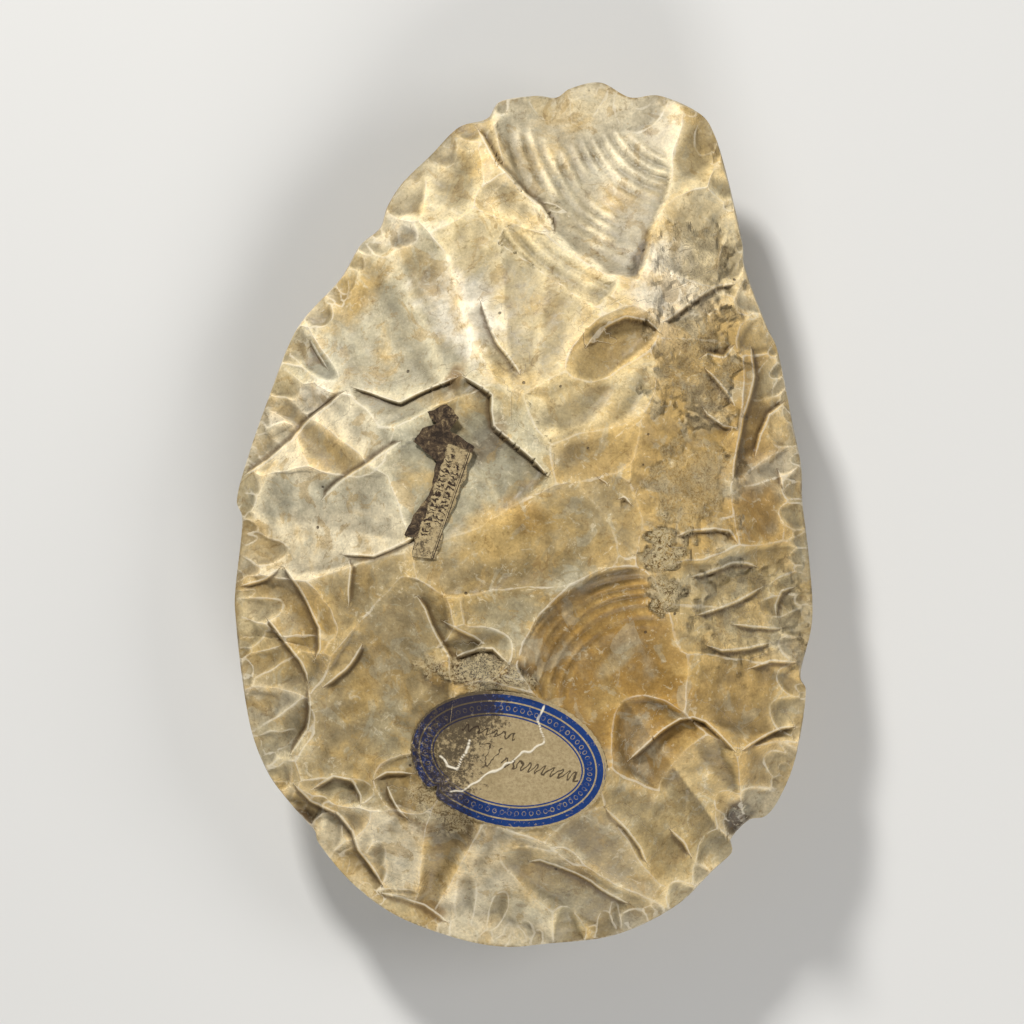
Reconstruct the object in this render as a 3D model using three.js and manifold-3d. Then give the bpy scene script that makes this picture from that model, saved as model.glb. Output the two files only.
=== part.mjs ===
// A stone hand axe of honey and grey flint, lying on its back face with its point towards +Y,
// and the two paper labels glued to its front. Millimetres, +Z up, the origin on the table
// under the middle of the plan.
import * as THREE from 'three';
import { mergeVertices } from 'three/addons/utils/BufferGeometryUtils.js';
import Module from 'manifold-3d';

const wasm = await Module();
wasm.setup();

// ---- Driving dimensions -------------------------------------------------------------------

const EDGE_HEIGHT = 18;         // the cutting edge stands this far above the table
const EDGE_WAVE = 1.1;          // and wavers by about this much
const FRONT_RISE = 22;          // the front face swells this far above the edge
const BACK_RISE = 21.5;         // the back would swell this far below it, but for its flat
const THICKEST = [0, -8];       // the thickest place, a little below the middle
const TIP_THINNING = 0.22;      // the faces are this much lower at the point
const SWELL_POWER = 0.66;       // how full the faces are: 0.5 is an ellipsoid, 1 a parabola
const THINNEST_EDGE = 0.12;     // each face leaves the edge at no less than this slope
const FULLEST_EDGE = 3.2;       // and rises no faster than this times distance to the 3/4

const GRID_ACROSS = 38;         // faces of the mesh across the axe
const GRID_ALONG = 56;          // and along it
const RIM_SAMPLES = 1200;

const LABEL_THICKNESS = 0.3;
const LABEL_GAP = 0.3;          // between a label and the stone
const OVAL = { x: -2.5, y: -41, halfLong: 16.6, halfShort: 11.4, turn: -0.2 };

// The edge in plan, clockwise from the point.
const outline = [
  [13, 73], [18, 70.5], [23, 70.8], [29.5, 68], [32.2, 64.5], [34.5, 57], [37, 46], [37.5, 41.5],
  [41, 32], [43, 27.5], [45.5, 15.5], [47, 8], [47.2, 2], [48.3, -7.5], [48.8, -18], [46.8, -27],
  [47.7, -30.5], [46, -41], [43.5, -47.5], [41, -51], [38, -51.8], [35, -55], [35.2, -57.2],
  [32, -60.3], [25.5, -66.5], [15.5, -71.3], [4, -72.8], [-3.5, -73.3], [-11.5, -71.8],
  [-21.5, -68], [-29, -62.5], [-34.5, -56], [-35.5, -53.5], [-39.5, -49], [-43.2, -44],
  [-46, -37], [-47.7, -27.5], [-48.7, -18], [-48.8, -13], [-47.6, -1.5], [-48.5, 2.6],
  [-46.2, 11], [-42.3, 22], [-40, 28], [-37.2, 33], [-31, 39.7], [-27.7, 45.3], [-24.3, 48.3],
  [-23, 52], [-20.4, 56], [-15.5, 60.8], [-11, 65.3], [-6.2, 66.8], [-4, 69.7], [2, 70.7],
  [5.5, 70.4], [8, 72],
];

// The scars of the flakes struck off the front, each from (x1, y1) to (x2, y2), with its
// half-width at each end and its hollow. `drop` lowers either end, `arc` (x, y, radius) is the
// curve where the flake broke off, `wall` is the slope beyond the scar's own ground, and
// `margin` is how far the scar may run on past that ground before the wall.
const broadScars = [
  // The point: the fan on its right, the two facets below that, the plateau on the left.
  [11.5, 71.5, 13, 37.5, 17.5, 3.5, 1.2,
    { drop: [0, 0.9], margin: 1, wall: 1.4, arc: [30.5, 78.5, 40] }],
  [33.5, 66.5, 22, 52, 4, 4, 0.7],
  [38.5, 45, 20.5, 48, 7, 3.5, 0.4],
  [33.5, 37.5, 19.5, 38, 1.5, 4.5, 0.2],
  [-11.5, 61.5, -13.5, 48.5, 3.5, 6, 0.3],
  [-23, 54, -10, 65.5, 2.5, 2.5, 0.3, { drop: [0.3, 0.3] }],
  // The upper middle: two large facets with the long ridge between them.
  [-13.5, 48, 8, 27, 4.5, 11.5, 0.9, { drop: [0, 0.3] }],
  [-27.5, 46.5, -17, 19.5, 7.5, 16.5, 1],
  // The left: the wedge, the round hollow with its ledge, and the field below.
  [-46.5, 6, -21.5, 16.5, 2, 5, 0.1],
  [-21, 3.5, 0.5, 11, 10, 10, 0.9, { drop: [-0.2, 1.9], wall: 1.5, arc: [-12.5, 4, 17] }],
  [-4, 18.5, 5, 6, 3, 1.5, 0],
  [-49, -2.5, -21, 0, 8, 4.5, 0.9],
  [-33.5, -29, -29.5, -7, 2.5, 11.5, 0.5],
  [-27.5, -46.5, -18.5, -13, 14, 3.5, 0.9],
  [-47, -32, -40, -46.5, 3, 3, 0.4],
  // The middle, and the butt below it.
  [-16, -7.5, 13, -2.5, 4, 7, 0.5],
  [-4, -24, 2, -11, 4, 12.5, 0.3],
  [-16.5, -37.5, 12, -46.5, 10, 8.5, 0.1],
  [11.5, -68, -28.5, -52.5, 6.5, 6.5, 0.5],
  [19.5, -64, 6, -52.5, 3.5, 7, 0.6],
  // The right, from the butt up.
  [22, -39, 8.5, -14.5, 8.5, 12, 1.3, { drop: [0, 0.7], wall: 1.2, arc: [20.5, -31.5, 22.5] }],
  [30.5, -59.5, 21.5, -39, 7.5, 8.5, 1, { drop: [0, 0.5], wall: 1, arc: [30.5, -55, 21] }],
  [44, -46.5, 36.5, -44, 7.5, 4, 0.6, { drop: [0, 0.3] }],
  [48, -30, 25, -26, 6, 5.5, 0.4, { drop: [0, 0.4] }],
  [48.5, -20.5, 21.5, -18, 4, 1.5, 0.2, { drop: [0, 0.3] }],
  [48.5, -12, 22, -13.5, 4.5, 2, 0.3, { drop: [0, 0.2] }],
  [39, -5, 21.5, -8, 3, 3.5, 0, { drop: [0.4, 0.4] }],
  [47.5, 0, 39.5, 1, 7, 7, 0.4],
  [45, 14.5, 41, 12, 6, 3, 0.2, { drop: [0.2, 0.3] }],
  [37.5, 39.5, 41.5, 26.5, 2.5, 3.5, 0.2],
  [29, 27, 28, -4, 8, 9, 0.5],
  [37, 32.5, 22, 30, 6, 2, 0],
  [2, 15.5, 20.5, 25, 5, 5, 0.8],
  [5, 8, 19, 17, 3.5, 4, 0.4],
  [9, 5.5, 19.5, -2.5, 2, 3.5, 0.1],
];

// Later, smaller scars, cut into those: half ovals struck in from the edge, or whole ovals
// (`closed`) where they lie inside the face.
const lateScars = [
  [-3, 47, 13.5, 37.5, 1.5, 2.5, 0.2, { drop: [0.1, 0.5], margin: 0.6, round: false }],
  [4, 49.5, -7.5, 54, 2.5, 3.5, 0, { drop: [0.4, 0.1], closed: true }],
  [-26, 49.5, -19, 46.5, 3.5, 2.5, 0.3, { drop: [0, 0.5] }],
  [-40.5, 30, -32.5, 24, 2.5, 2, 0.3, { drop: [0, 0.6] }],
  [-43, 24, -35.5, 23, 2, 1.5, 0.2, { drop: [0, 0.5] }],
  [-46, 18, -35, 19.5, 3.5, 3.5, 0.4, { drop: [0, 0.5] }],
  [-48, 10, -41.5, 11.5, 3.5, 3.5, 0.2, { drop: [0, 0.5] }],
  [-50, -13, -34, -19, 4.5, 4.5, 0.5, { drop: [0, 1.1] }],
  [-50, -23.5, -35, -26.5, 6, 5, 0.5, { drop: [0, 1.1] }],
  [-46.5, -35.5, -36, -33, 6, 5, 0.4, { drop: [0, 0.9] }],
  [-37.5, -47.5, -27.5, -46.5, 2.5, 2.5, 0.2, { drop: [0.1, 0.8], closed: true }],
  [-40.5, -53.5, -29, -52, 5, 4.5, 0.2, { drop: [0.5, 0.9] }],
  [-32.5, -62, -24, -60, 4.5, 4.5, 0.2, { drop: [0.5, 0.9] }],
  [-23.5, -69.5, -16.5, -65, 6, 5, 0.1, { drop: [0.5, 0.8] }],
  [-16.5, -45, -24.5, -43.5, 4.5, 4.5, 0.2, { drop: [0.6, 0.3], closed: true }],
  [-13, -25.5, -3, -22, 3.5, 3.5, 0.2, { drop: [0.4, 0.7], closed: true }],
  [19.5, -69.5, -1, -58, 3.5, 3.5, 0.5, { drop: [0.3, 0.6], wall: 0.8, closed: true }],
  [39.5, -54.5, 34.5, -49.5, 3.5, 3.5, 0.3, { drop: [0, 1.2] }],
  [26.5, -41.5, 16.5, -32.5, 6.5, 6, 0.3, { drop: [0, 0.8], closed: true }],
  [11.5, 27, 23, 31, 3.5, 4, 1, { drop: [0, 1], wall: 0.9, closed: true }],
  [10, 27.5, 15.5, 35, 1, 1.5, 0, { drop: [0, 0.2], margin: 0.3, round: false }],
  [41.5, 28, 37, -3.5, 3.5, 3.5, 0.6, { drop: [0.4, 0.9], wall: 0.9 }],
  [48, 6, 42.5, 7, 2.5, 2.5, 0.2, { drop: [0, 0.8] }],
  [49, -15.5, 42, -15.5, 2.5, 2.5, 0.2, { drop: [0, 0.6] }],
];

// The torn edge of the printed strip, clockwise from its upper right corner.
const stripOutline = [
  [-8, 11.4], [-10.6, 4.1], [-13.1, -1.8], [-14.6, -7.5], [-18.5, -7], [-18.4, -3.8],
  [-20, -3.3], [-18.5, 0], [-15.6, 3.1], [-14.6, 9], [-18.4, 12.1], [-17, 14.5], [-14.6, 15],
  [-16, 17], [-12.9, 18.4], [-10.7, 16.3], [-12.1, 14],
];

// ---- The outline --------------------------------------------------------------------------

const clamp = THREE.MathUtils.clamp;

// A repeatable spread of numbers from 0 to 1, for the nibbled edge and the back.
function spread(index, kind) {
  const value = Math.sin(index * 12.9898 + kind * 78.233) * 43758.5453;
  return value - Math.floor(value);
}

// The rim as polar samples about the thickest place, sorted by angle.
function sampleRim() {
  const corners = outline.map(([x, y]) => new THREE.Vector3(x, y, 0));
  const curve = new THREE.CatmullRomCurve3(corners, true, 'catmullrom', 0.5);
  const points = curve.getPoints(RIM_SAMPLES).slice(0, RIM_SAMPLES);
  const middle = new THREE.Box3().setFromPoints(points).getCenter(new THREE.Vector3());
  const samples = points.map((point) => {
    const x = point.x - middle.x - THICKEST[0];
    const y = point.y - middle.y - THICKEST[1];
    return { angle: Math.atan2(y, x), radius: Math.hypot(x, y) };
  });
  return samples.sort((a, b) => a.angle - b.angle);
}

const rim = sampleRim();

function rimRadius(angle) {
  let low = 0;
  let high = rim.length;
  while (low < high) {
    const half = (low + high) >> 1;
    if (rim[half].angle < angle) low = half + 1;
    else high = half;
  }
  const after = rim[low % rim.length];
  const before = rim[(low + rim.length - 1) % rim.length];
  const turn = 2 * Math.PI;
  const gap = (after.angle - before.angle + turn) % turn;
  const part = ((angle - before.angle + turn) % turn) / (gap || 1);
  return before.radius + (after.radius - before.radius) * part;
}

// How far in from the rim a place is; negative outside.
function fromRim(x, y) {
  const dx = x - THICKEST[0];
  const dy = y - THICKEST[1];
  return rimRadius(Math.atan2(dy, dx)) - Math.hypot(dx, dy);
}

// ---- The faces, as heights above (or depths below) the cutting edge ------------------------

function swell(rise) {
  return (x, y) => {
    const reach = Math.hypot(x - THICKEST[0], y - THICKEST[1]);
    const inset = fromRim(x, y);
    if (inset < 0) return 0.15 * inset;
    const fullness = 1 - (reach / (reach + inset)) ** 2;
    const thinning = 1 - TIP_THINNING * clamp((y + 5) / 75, -0.2, 1);
    return rise * thinning * Math.max(fullness, 0) ** SWELL_POWER;
  };
}

// One scar: a hollowed patch hung from the heights that `surface` has at its four corners.
function scar(surface, [x1, y1, x2, y2, half1, half2, hollow, options = {}]) {
  const { drop = [0, 0], margin = 2, wall = 0.9, arc, round = false, closed = false } = options;
  const length = Math.hypot(x2 - x1, y2 - y1);
  const [ux, uy] = [(x2 - x1) / length, (y2 - y1) / length];
  const corner = (x, y, across) => surface(x - across * uy, y + across * ux);
  const [left1, right1] = [corner(x1, y1, half1), corner(x1, y1, -half1)];
  const [left2, right2] = [corner(x2, y2, half2), corner(x2, y2, -half2)];
  const [height1, height2] = [(left1 + right1) / 2 - drop[0], (left2 + right2) / 2 - drop[1]];
  const [slope1, slope2] = [(left1 - right1) / (2 * half1), (left2 - right2) / (2 * half2)];
  const halfMean = (half1 + half2) / 2;
  return (x, y) => {
    const along = ((x - x1) * ux + (y - y1) * uy) / length;
    const across = (y - y1) * ux - (x - x1) * uy;
    const part = clamp(along, 0, 1);
    const half = half1 + (half2 - half1) * part;
    let beyond;
    if (round) {
      const oval = Math.hypot(Math.max(along, closed ? -3 * along : 0), across / half);
      beyond = (oval - 1) * Math.min(length, halfMean) - margin;
    } else {
      beyond = Math.hypot((along - part) * length, Math.max(Math.abs(across) - half, 0)) - margin;
    }
    if (arc) beyond = Math.max(beyond, Math.hypot(x - arc[0], y - arc[1]) - arc[2]);
    const height = height1 + (height2 - height1) * along + (slope1 + (slope2 - slope1) * part) * across;
    const belly = 1 - 0.5 * (2 * along - 1) ** 2 - 0.5 * (across / halfMean) ** 2;
    return height - hollow * belly + wall * Math.max(beyond, 0);
  };
}

const lowest = (layers) => (x, y) => Math.min(...layers.map((layer) => layer(x, y)));

function lateScar(surface, [x1, y1, x2, y2, half1, half2, hollow, options]) {
  const shape = { round: true, margin: 0, wall: 1.1, ...options };
  return scar(surface, [x1, y1, x2, y2, half1, half2, hollow, shape]);
}

// The small chips all round the edge, struck inwards from it.
function edgeChips(surface, count, first) {
  return Array.from({ length: count }, (_, index) => {
    const pick = (kind) => spread(index + first, kind);
    const angle = 2 * Math.PI * (index + 0.6 * pick(1)) / count;
    const [cos, sin] = [Math.cos(angle), Math.sin(angle)];
    const radius = rimRadius(Math.atan2(sin, cos));
    const half = 1.5 + 2.3 * pick(2) ** 2;
    const outer = radius + 0.3;
    const inner = radius - 2.5 - 4.5 * pick(3) ** 1.5;
    const slew = 2 * (pick(4) - 0.5);
    const drop = [0, 0.3 + 0.6 * pick(5)];
    return scar(surface, [
      THICKEST[0] + outer * cos, THICKEST[1] + outer * sin,
      THICKEST[0] + inner * cos - slew * sin, THICKEST[1] + inner * sin + slew * cos,
      1.25 * half, half, 0.1, { drop, margin: 0, wall: 1, round: true },
    ]);
  });
}

// The back: a ring of flakes struck in from the edge all round, each reaching from the rim to
// about `reach` of the way out from the thickest place.
function backRing(surface, { count, first, reach, hollow, drop, shape }) {
  return Array.from({ length: count }, (_, index) => {
    const pick = (kind) => spread(index + first, kind);
    const angle = 2 * Math.PI * (index + 0.6 * pick(1)) / count;
    const [cos, sin] = [Math.cos(angle), Math.sin(angle)];
    const radius = rimRadius(Math.atan2(sin, cos));
    const inner = radius * (reach + 0.15 * pick(2));
    const slew = radius * 0.3 * (pick(3) - 0.5);
    return scar(surface, [
      THICKEST[0] + (radius - 0.5) * cos, THICKEST[1] + (radius - 0.5) * sin,
      THICKEST[0] + inner * cos - slew * sin, THICKEST[1] + inner * sin + slew * cos,
      radius * 2.8 / count, radius * 2.4 / count, hollow + 0.6 * pick(4), { drop: [0, drop], ...shape },
    ]);
  });
}

function frontLayers() {
  const dome = swell(FRONT_RISE);
  const skin = (x, y) => dome(x, y) + 0.3;
  const broad = [skin, ...broadScars.map((row) => scar(dome, row))];
  const late = [...broad, ...lateScars.map((row) => lateScar(lowest(broad), row))];
  return [...late, ...edgeChips(lowest(late), 54, 0)];
}

function backLayers() {
  const dome = swell(BACK_RISE);
  const long = { count: 9, first: 200, reach: 0.22, hollow: 0.8, drop: 0, shape: { margin: 3 } };
  const short = {
    count: 13, first: 300, reach: 0.55, hollow: 0.2, drop: 0.9, shape: { margin: 0, round: true },
  };
  const broad = [(x, y) => dome(x, y) + 0.3, ...backRing(dome, long)];
  const later = [...broad, ...backRing(lowest(broad), short)];
  return [...later, ...edgeChips(lowest(later), 34, 100), edgeHeight];
}

function edgeHeight(x, y) {
  return EDGE_HEIGHT + EDGE_WAVE * (Math.sin(x / 19 + y / 31 + 0.7) + 0.6 * Math.sin(y / 13 - x / 29));
}

// ---- The mesh -----------------------------------------------------------------------------

// A place on the square grid, laid out over the plan: the square's rim falls on the outline.
function placeOnPlan(u, v) {
  const [dx, dy] = [u * Math.sqrt(1 - v * v / 2), v * Math.sqrt(1 - u * u / 2)];
  const radius = Math.hypot(dx, dy) * rimRadius(Math.atan2(dy, dx));
  const angle = Math.atan2(dy, dx);
  return [THICKEST[0] + radius * Math.cos(angle), THICKEST[1] + radius * Math.sin(angle)];
}

const onRim = (i, j) => i === 0 || j === 0 || i === GRID_ACROSS || j === GRID_ALONG;

// One face as a grid of places whose points are drawn onto the ridges between scars.
function faceGrid(layers, side) {
  const surface = lowest(layers);
  const height = (x, y) => {
    const inset = Math.max(fromRim(x, y), 0);
    return clamp(surface(x, y), THINNEST_EDGE * inset, FULLEST_EDGE * inset ** 0.75);
  };
  const nodes = [];
  for (let j = 0; j <= GRID_ALONG; j += 1) {
    for (let i = 0; i <= GRID_ACROSS; i += 1) {
      const place = placeOnPlan(2 * i / GRID_ACROSS - 1, 2 * j / GRID_ALONG - 1);
      const heights = layers.map((layer) => layer(...place));
      nodes.push({ i, j, place, heights, owner: heights.indexOf(Math.min(...heights)), shift: 1 });
    }
  }
  const at = (i, j) => nodes[j * (GRID_ACROSS + 1) + i];
  const drawOntoRidge = (a, b) => {
    if (a.owner === b.owner) return;
    const before = a.heights[b.owner] - a.heights[a.owner];
    const after = b.heights[a.owner] - b.heights[b.owner];
    const part = before / (before + after || 1);
    const [near, far, share] = part < 0.5 ? [a, b, part] : [b, a, 1 - part];
    if (onRim(near.i, near.j) || share >= near.shift) return;
    near.shift = share;
    near.moved = near.place.map((value, axis) => value + share * (far.place[axis] - value));
  };
  for (const node of nodes) {
    if (node.i < GRID_ACROSS) drawOntoRidge(node, at(node.i + 1, node.j));
    if (node.j < GRID_ALONG) drawOntoRidge(node, at(node.i, node.j + 1));
  }
  for (const node of nodes) {
    const [x, y] = node.moved ?? node.place;
    const rise = onRim(node.i, node.j) ? 0 : height(x, y);
    const z = edgeHeight(x, y) + side * rise;
    node.point = [x, y, side < 0 ? Math.max(z, 0) : z];
  }
  return { at, height };
}

// Both faces sewn together along the rim.
function stoneGeometry() {
  const positions = [];
  const triangles = [];
  const rimIndex = new Map();
  for (const side of [1, -1]) {
    const { at, height } = faceGrid(side > 0 ? frontLayers() : backLayers(), side);
    const indexOf = new Map();
    const indexAt = (i, j) => {
      const store = onRim(i, j) ? rimIndex : indexOf;
      const key = j * (GRID_ACROSS + 1) + i;
      if (!store.has(key)) {
        store.set(key, positions.length / 3);
        positions.push(...at(i, j).point);
      }
      return store.get(key);
    };
    const midError = (a, b) => {
      const [x, y] = [(a[0] + b[0]) / 2, (a[1] + b[1]) / 2];
      return Math.abs((a[2] + b[2]) / 2 - edgeHeight(x, y) - side * height(x, y));
    };
    for (let j = 0; j < GRID_ALONG; j += 1) {
      for (let i = 0; i < GRID_ACROSS; i += 1) {
        const ring = [[i, j], [i + 1, j], [i + 1, j + 1], [i, j + 1]];
        const points = ring.map(([a, b]) => at(a, b).point);
        const rims = ring.map(([a, b]) => onRim(a, b));
        const better = midError(points[0], points[2]) <= midError(points[1], points[3]);
        const straight = (rims[1] && rims[3]) || (better && !(rims[0] && rims[2]));
        const [a, b, c, d] = ring.map(([p, q]) => indexAt(p, q));
        const pair = straight ? [[a, b, c], [a, c, d]] : [[a, b, d], [b, c, d]];
        for (const [p, q, r] of pair) triangles.push(...(side > 0 ? [p, q, r] : [p, r, q]));
      }
    }
  }
  const geometry = new THREE.BufferGeometry();
  geometry.setAttribute('position', new THREE.Float32BufferAttribute(positions, 3));
  geometry.setIndex(triangles);
  return geometry;
}

// ---- The labels ---------------------------------------------------------------------------

function toSolid(geometry) {
  const plain = geometry.clone();
  plain.deleteAttribute('normal');
  plain.deleteAttribute('uv');
  const merged = mergeVertices(plain, 1e-4);
  return new wasm.Manifold(new wasm.Mesh({
    numProp: 3,
    vertProperties: new Float32Array(merged.attributes.position.array),
    triVerts: new Uint32Array(merged.index.array),
  }));
}

function toGeometry(solid) {
  const mesh = solid.getMesh();
  const geometry = new THREE.BufferGeometry();
  geometry.setAttribute('position', new THREE.BufferAttribute(mesh.vertProperties, 3));
  geometry.setIndex(new THREE.BufferAttribute(mesh.triVerts, 1));
  return geometry;
}

// A sheet of the given plan that follows the front of the stone.
function paperOn(stone, shape) {
  const tall = EDGE_HEIGHT + 2 * FRONT_RISE;
  const prism = new THREE.ExtrudeGeometry(shape, { depth: tall, bevelEnabled: false, curveSegments: 12 });
  prism.translate(0, 0, EDGE_HEIGHT);
  const over = stone.translate([0, 0, LABEL_GAP + LABEL_THICKNESS]);
  const under = stone.translate([0, 0, LABEL_GAP]);
  return toGeometry(toSolid(prism).intersect(over).subtract(under));
}

function ovalShape() {
  const shape = new THREE.Shape();
  shape.absellipse(OVAL.x, OVAL.y, OVAL.halfLong, OVAL.halfShort, 0, 2 * Math.PI, false, OVAL.turn);
  return shape;
}

function stripShape() {
  return new THREE.Shape(stripOutline.map(([x, y]) => new THREE.Vector2(x, y)));
}

// ---- The assembly -------------------------------------------------------------------------

const flint = new THREE.MeshStandardMaterial({ color: 0xb9a878, roughness: 0.5, metalness: 0 });
const paper = new THREE.MeshStandardMaterial({ color: 0xb7a27c, roughness: 0.9, metalness: 0 });

function piece(name, geometry, material) {
  geometry.computeVertexNormals();
  const mesh = new THREE.Mesh(geometry, material);
  mesh.name = name;
  return mesh;
}

const stone = stoneGeometry();
const stoneSolid = toSolid(stone);

const handAxe = new THREE.Group();
handAxe.add(piece('hand_axe', stone, flint));
handAxe.add(piece('oval_label', paperOn(stoneSolid, ovalShape()), paper));
handAxe.add(piece('printed_label', paperOn(stoneSolid, stripShape()), paper));

export default handAxe;
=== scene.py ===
# A flint hand axe lying on its back face with its point towards +Y, and the two old paper
# labels glued to its front. Lengths are in millimetres, worked into metres by MM from the
# frame; heights are counted from the table.
import math
from collections import namedtuple

import bmesh
import bpy
import numpy as np
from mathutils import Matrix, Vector, noise


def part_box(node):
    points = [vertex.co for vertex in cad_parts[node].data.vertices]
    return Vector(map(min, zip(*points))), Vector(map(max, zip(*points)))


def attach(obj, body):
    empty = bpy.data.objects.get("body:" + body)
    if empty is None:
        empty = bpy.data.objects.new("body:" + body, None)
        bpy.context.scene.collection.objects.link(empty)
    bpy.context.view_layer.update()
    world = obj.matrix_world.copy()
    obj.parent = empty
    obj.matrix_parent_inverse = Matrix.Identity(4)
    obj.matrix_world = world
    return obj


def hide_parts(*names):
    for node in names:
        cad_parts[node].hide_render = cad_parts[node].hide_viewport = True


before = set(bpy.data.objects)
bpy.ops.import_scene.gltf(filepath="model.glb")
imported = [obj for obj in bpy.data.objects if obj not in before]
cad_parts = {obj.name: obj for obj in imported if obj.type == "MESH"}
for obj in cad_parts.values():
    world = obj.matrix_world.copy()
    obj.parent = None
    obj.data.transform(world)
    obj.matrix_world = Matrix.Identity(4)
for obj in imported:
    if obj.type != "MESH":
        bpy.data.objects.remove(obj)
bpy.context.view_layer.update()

# ---- The driving sizes ------------------------------------------------------------------------

EDGE_HEIGHT = 18
EDGE_WAVE = 1.1
FRONT_RISE = 22
BACK_RISE = 21.5
THICKEST = (0, -8)
TIP_THINNING = 0.22
SWELL_POWER = 0.66
THINNEST_EDGE = 0.12
FULLEST_EDGE = 3.2

DEEPER = 1.8
FRONT_ACROSS, FRONT_ALONG = 240, 316
BACK_ACROSS, BACK_ALONG = FRONT_ACROSS // 2, FRONT_ALONG // 2
RIM_STEPS = 21
KEENEST_FOLD = math.radians(24)
STEP_WIDTH = 0.5
STEP_LIP = 0.15
RIPPLES_CUT = 0.65
FAR = 3.0
TINT_JOIN = 0.25
OWN_TINT = 0.45
MERGE = 0.01
TINY = 1e-9

OVAL_CENTRE = (-2.5, -41)
OVAL_LONG, OVAL_SHORT = 16.6, 11.4
OVAL_TURN = -0.2
OVAL_BORDER = 5
PAPER_THICKNESS = 0.2
PAPER_LIFT = 0.3
BRIDGING = 6

FRAME_WIDTH, FRAME_CENTRE = 173.24, (-1.95, 0.42)
LENS, SENSOR = 250, 36
FLOOR_COLOUR = (0.7, 0.71, 0.72, 1)
SKY_COLOUR, SKY_STRENGTH = (1, 0.99, 0.97, 1), 0.12
LIGHT_DISTANCE = 0.9

# The soft lights: azimuth (0 towards +X, 90 towards +Y), elevation, size, power and colour.
LIGHTS = {
    "key": (115, 36, 0.12, 7.6, (1, 0.97, 0.91)),
    "fill_right": (5, 40, 0.4, 2.1, (1, 0.97, 0.93)),
    "fill_front": (280, 33, 0.4, 4.3, (1, 0.97, 0.92)),
}

# The patina colours, as 8-bit screen values.
PATINA = {
    "ivory": (240, 232, 212),
    "bone": (220, 208, 178),
    "cream": (214, 196, 154),
    "straw": (204, 186, 142),
    "mist": (186, 182, 160),
    "putty": (188, 178, 148),
    "ash": (170, 162, 134),
    "slate": (144, 141, 122),
    "sand": (184, 162, 114),
    "ochre": (196, 166, 105),
    "khaki": (158, 140, 102),
    "honey": (174, 144, 86),
    "olive": (140, 120, 78),
    "amber": (154, 120, 60),
    "hazel": (124, 96, 52),
    "umber": (88, 66, 38),
    "soil": (62, 48, 34),
}

# The edge in plan, clockwise from the point.
OUTLINE = [
    (13, 73), (18, 70.5), (23, 70.8), (29.5, 68), (32.2, 64.5), (34.5, 57), (37, 46), (37.5, 41.5),
    (41, 32), (43, 27.5), (45.5, 15.5), (47, 8), (47.2, 2), (48.3, -7.5), (48.8, -18), (46.8, -27),
    (47.7, -30.5), (46, -41), (43.5, -47.5), (41, -51), (38, -51.8), (35, -55), (35.2, -57.2),
    (32, -60.3), (25.5, -66.5), (15.5, -71.3), (4, -72.8), (-3.5, -73.3), (-11.5, -71.8),
    (-21.5, -68), (-29, -62.5), (-34.5, -56), (-35.5, -53.5), (-39.5, -49), (-43.2, -44),
    (-46, -37), (-47.7, -27.5), (-48.7, -18), (-48.8, -13), (-47.6, -1.5), (-48.5, 2.6),
    (-46.2, 11), (-42.3, 22), (-40, 28), (-37.2, 33), (-31, 39.7), (-27.7, 45.3), (-24.3, 48.3),
    (-23, 52), (-20.4, 56), (-15.5, 60.8), (-11, 65.3), (-6.2, 66.8), (-4, 69.7), (2, 70.7),
    (5.5, 70.4), (8, 72),
]

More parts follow.
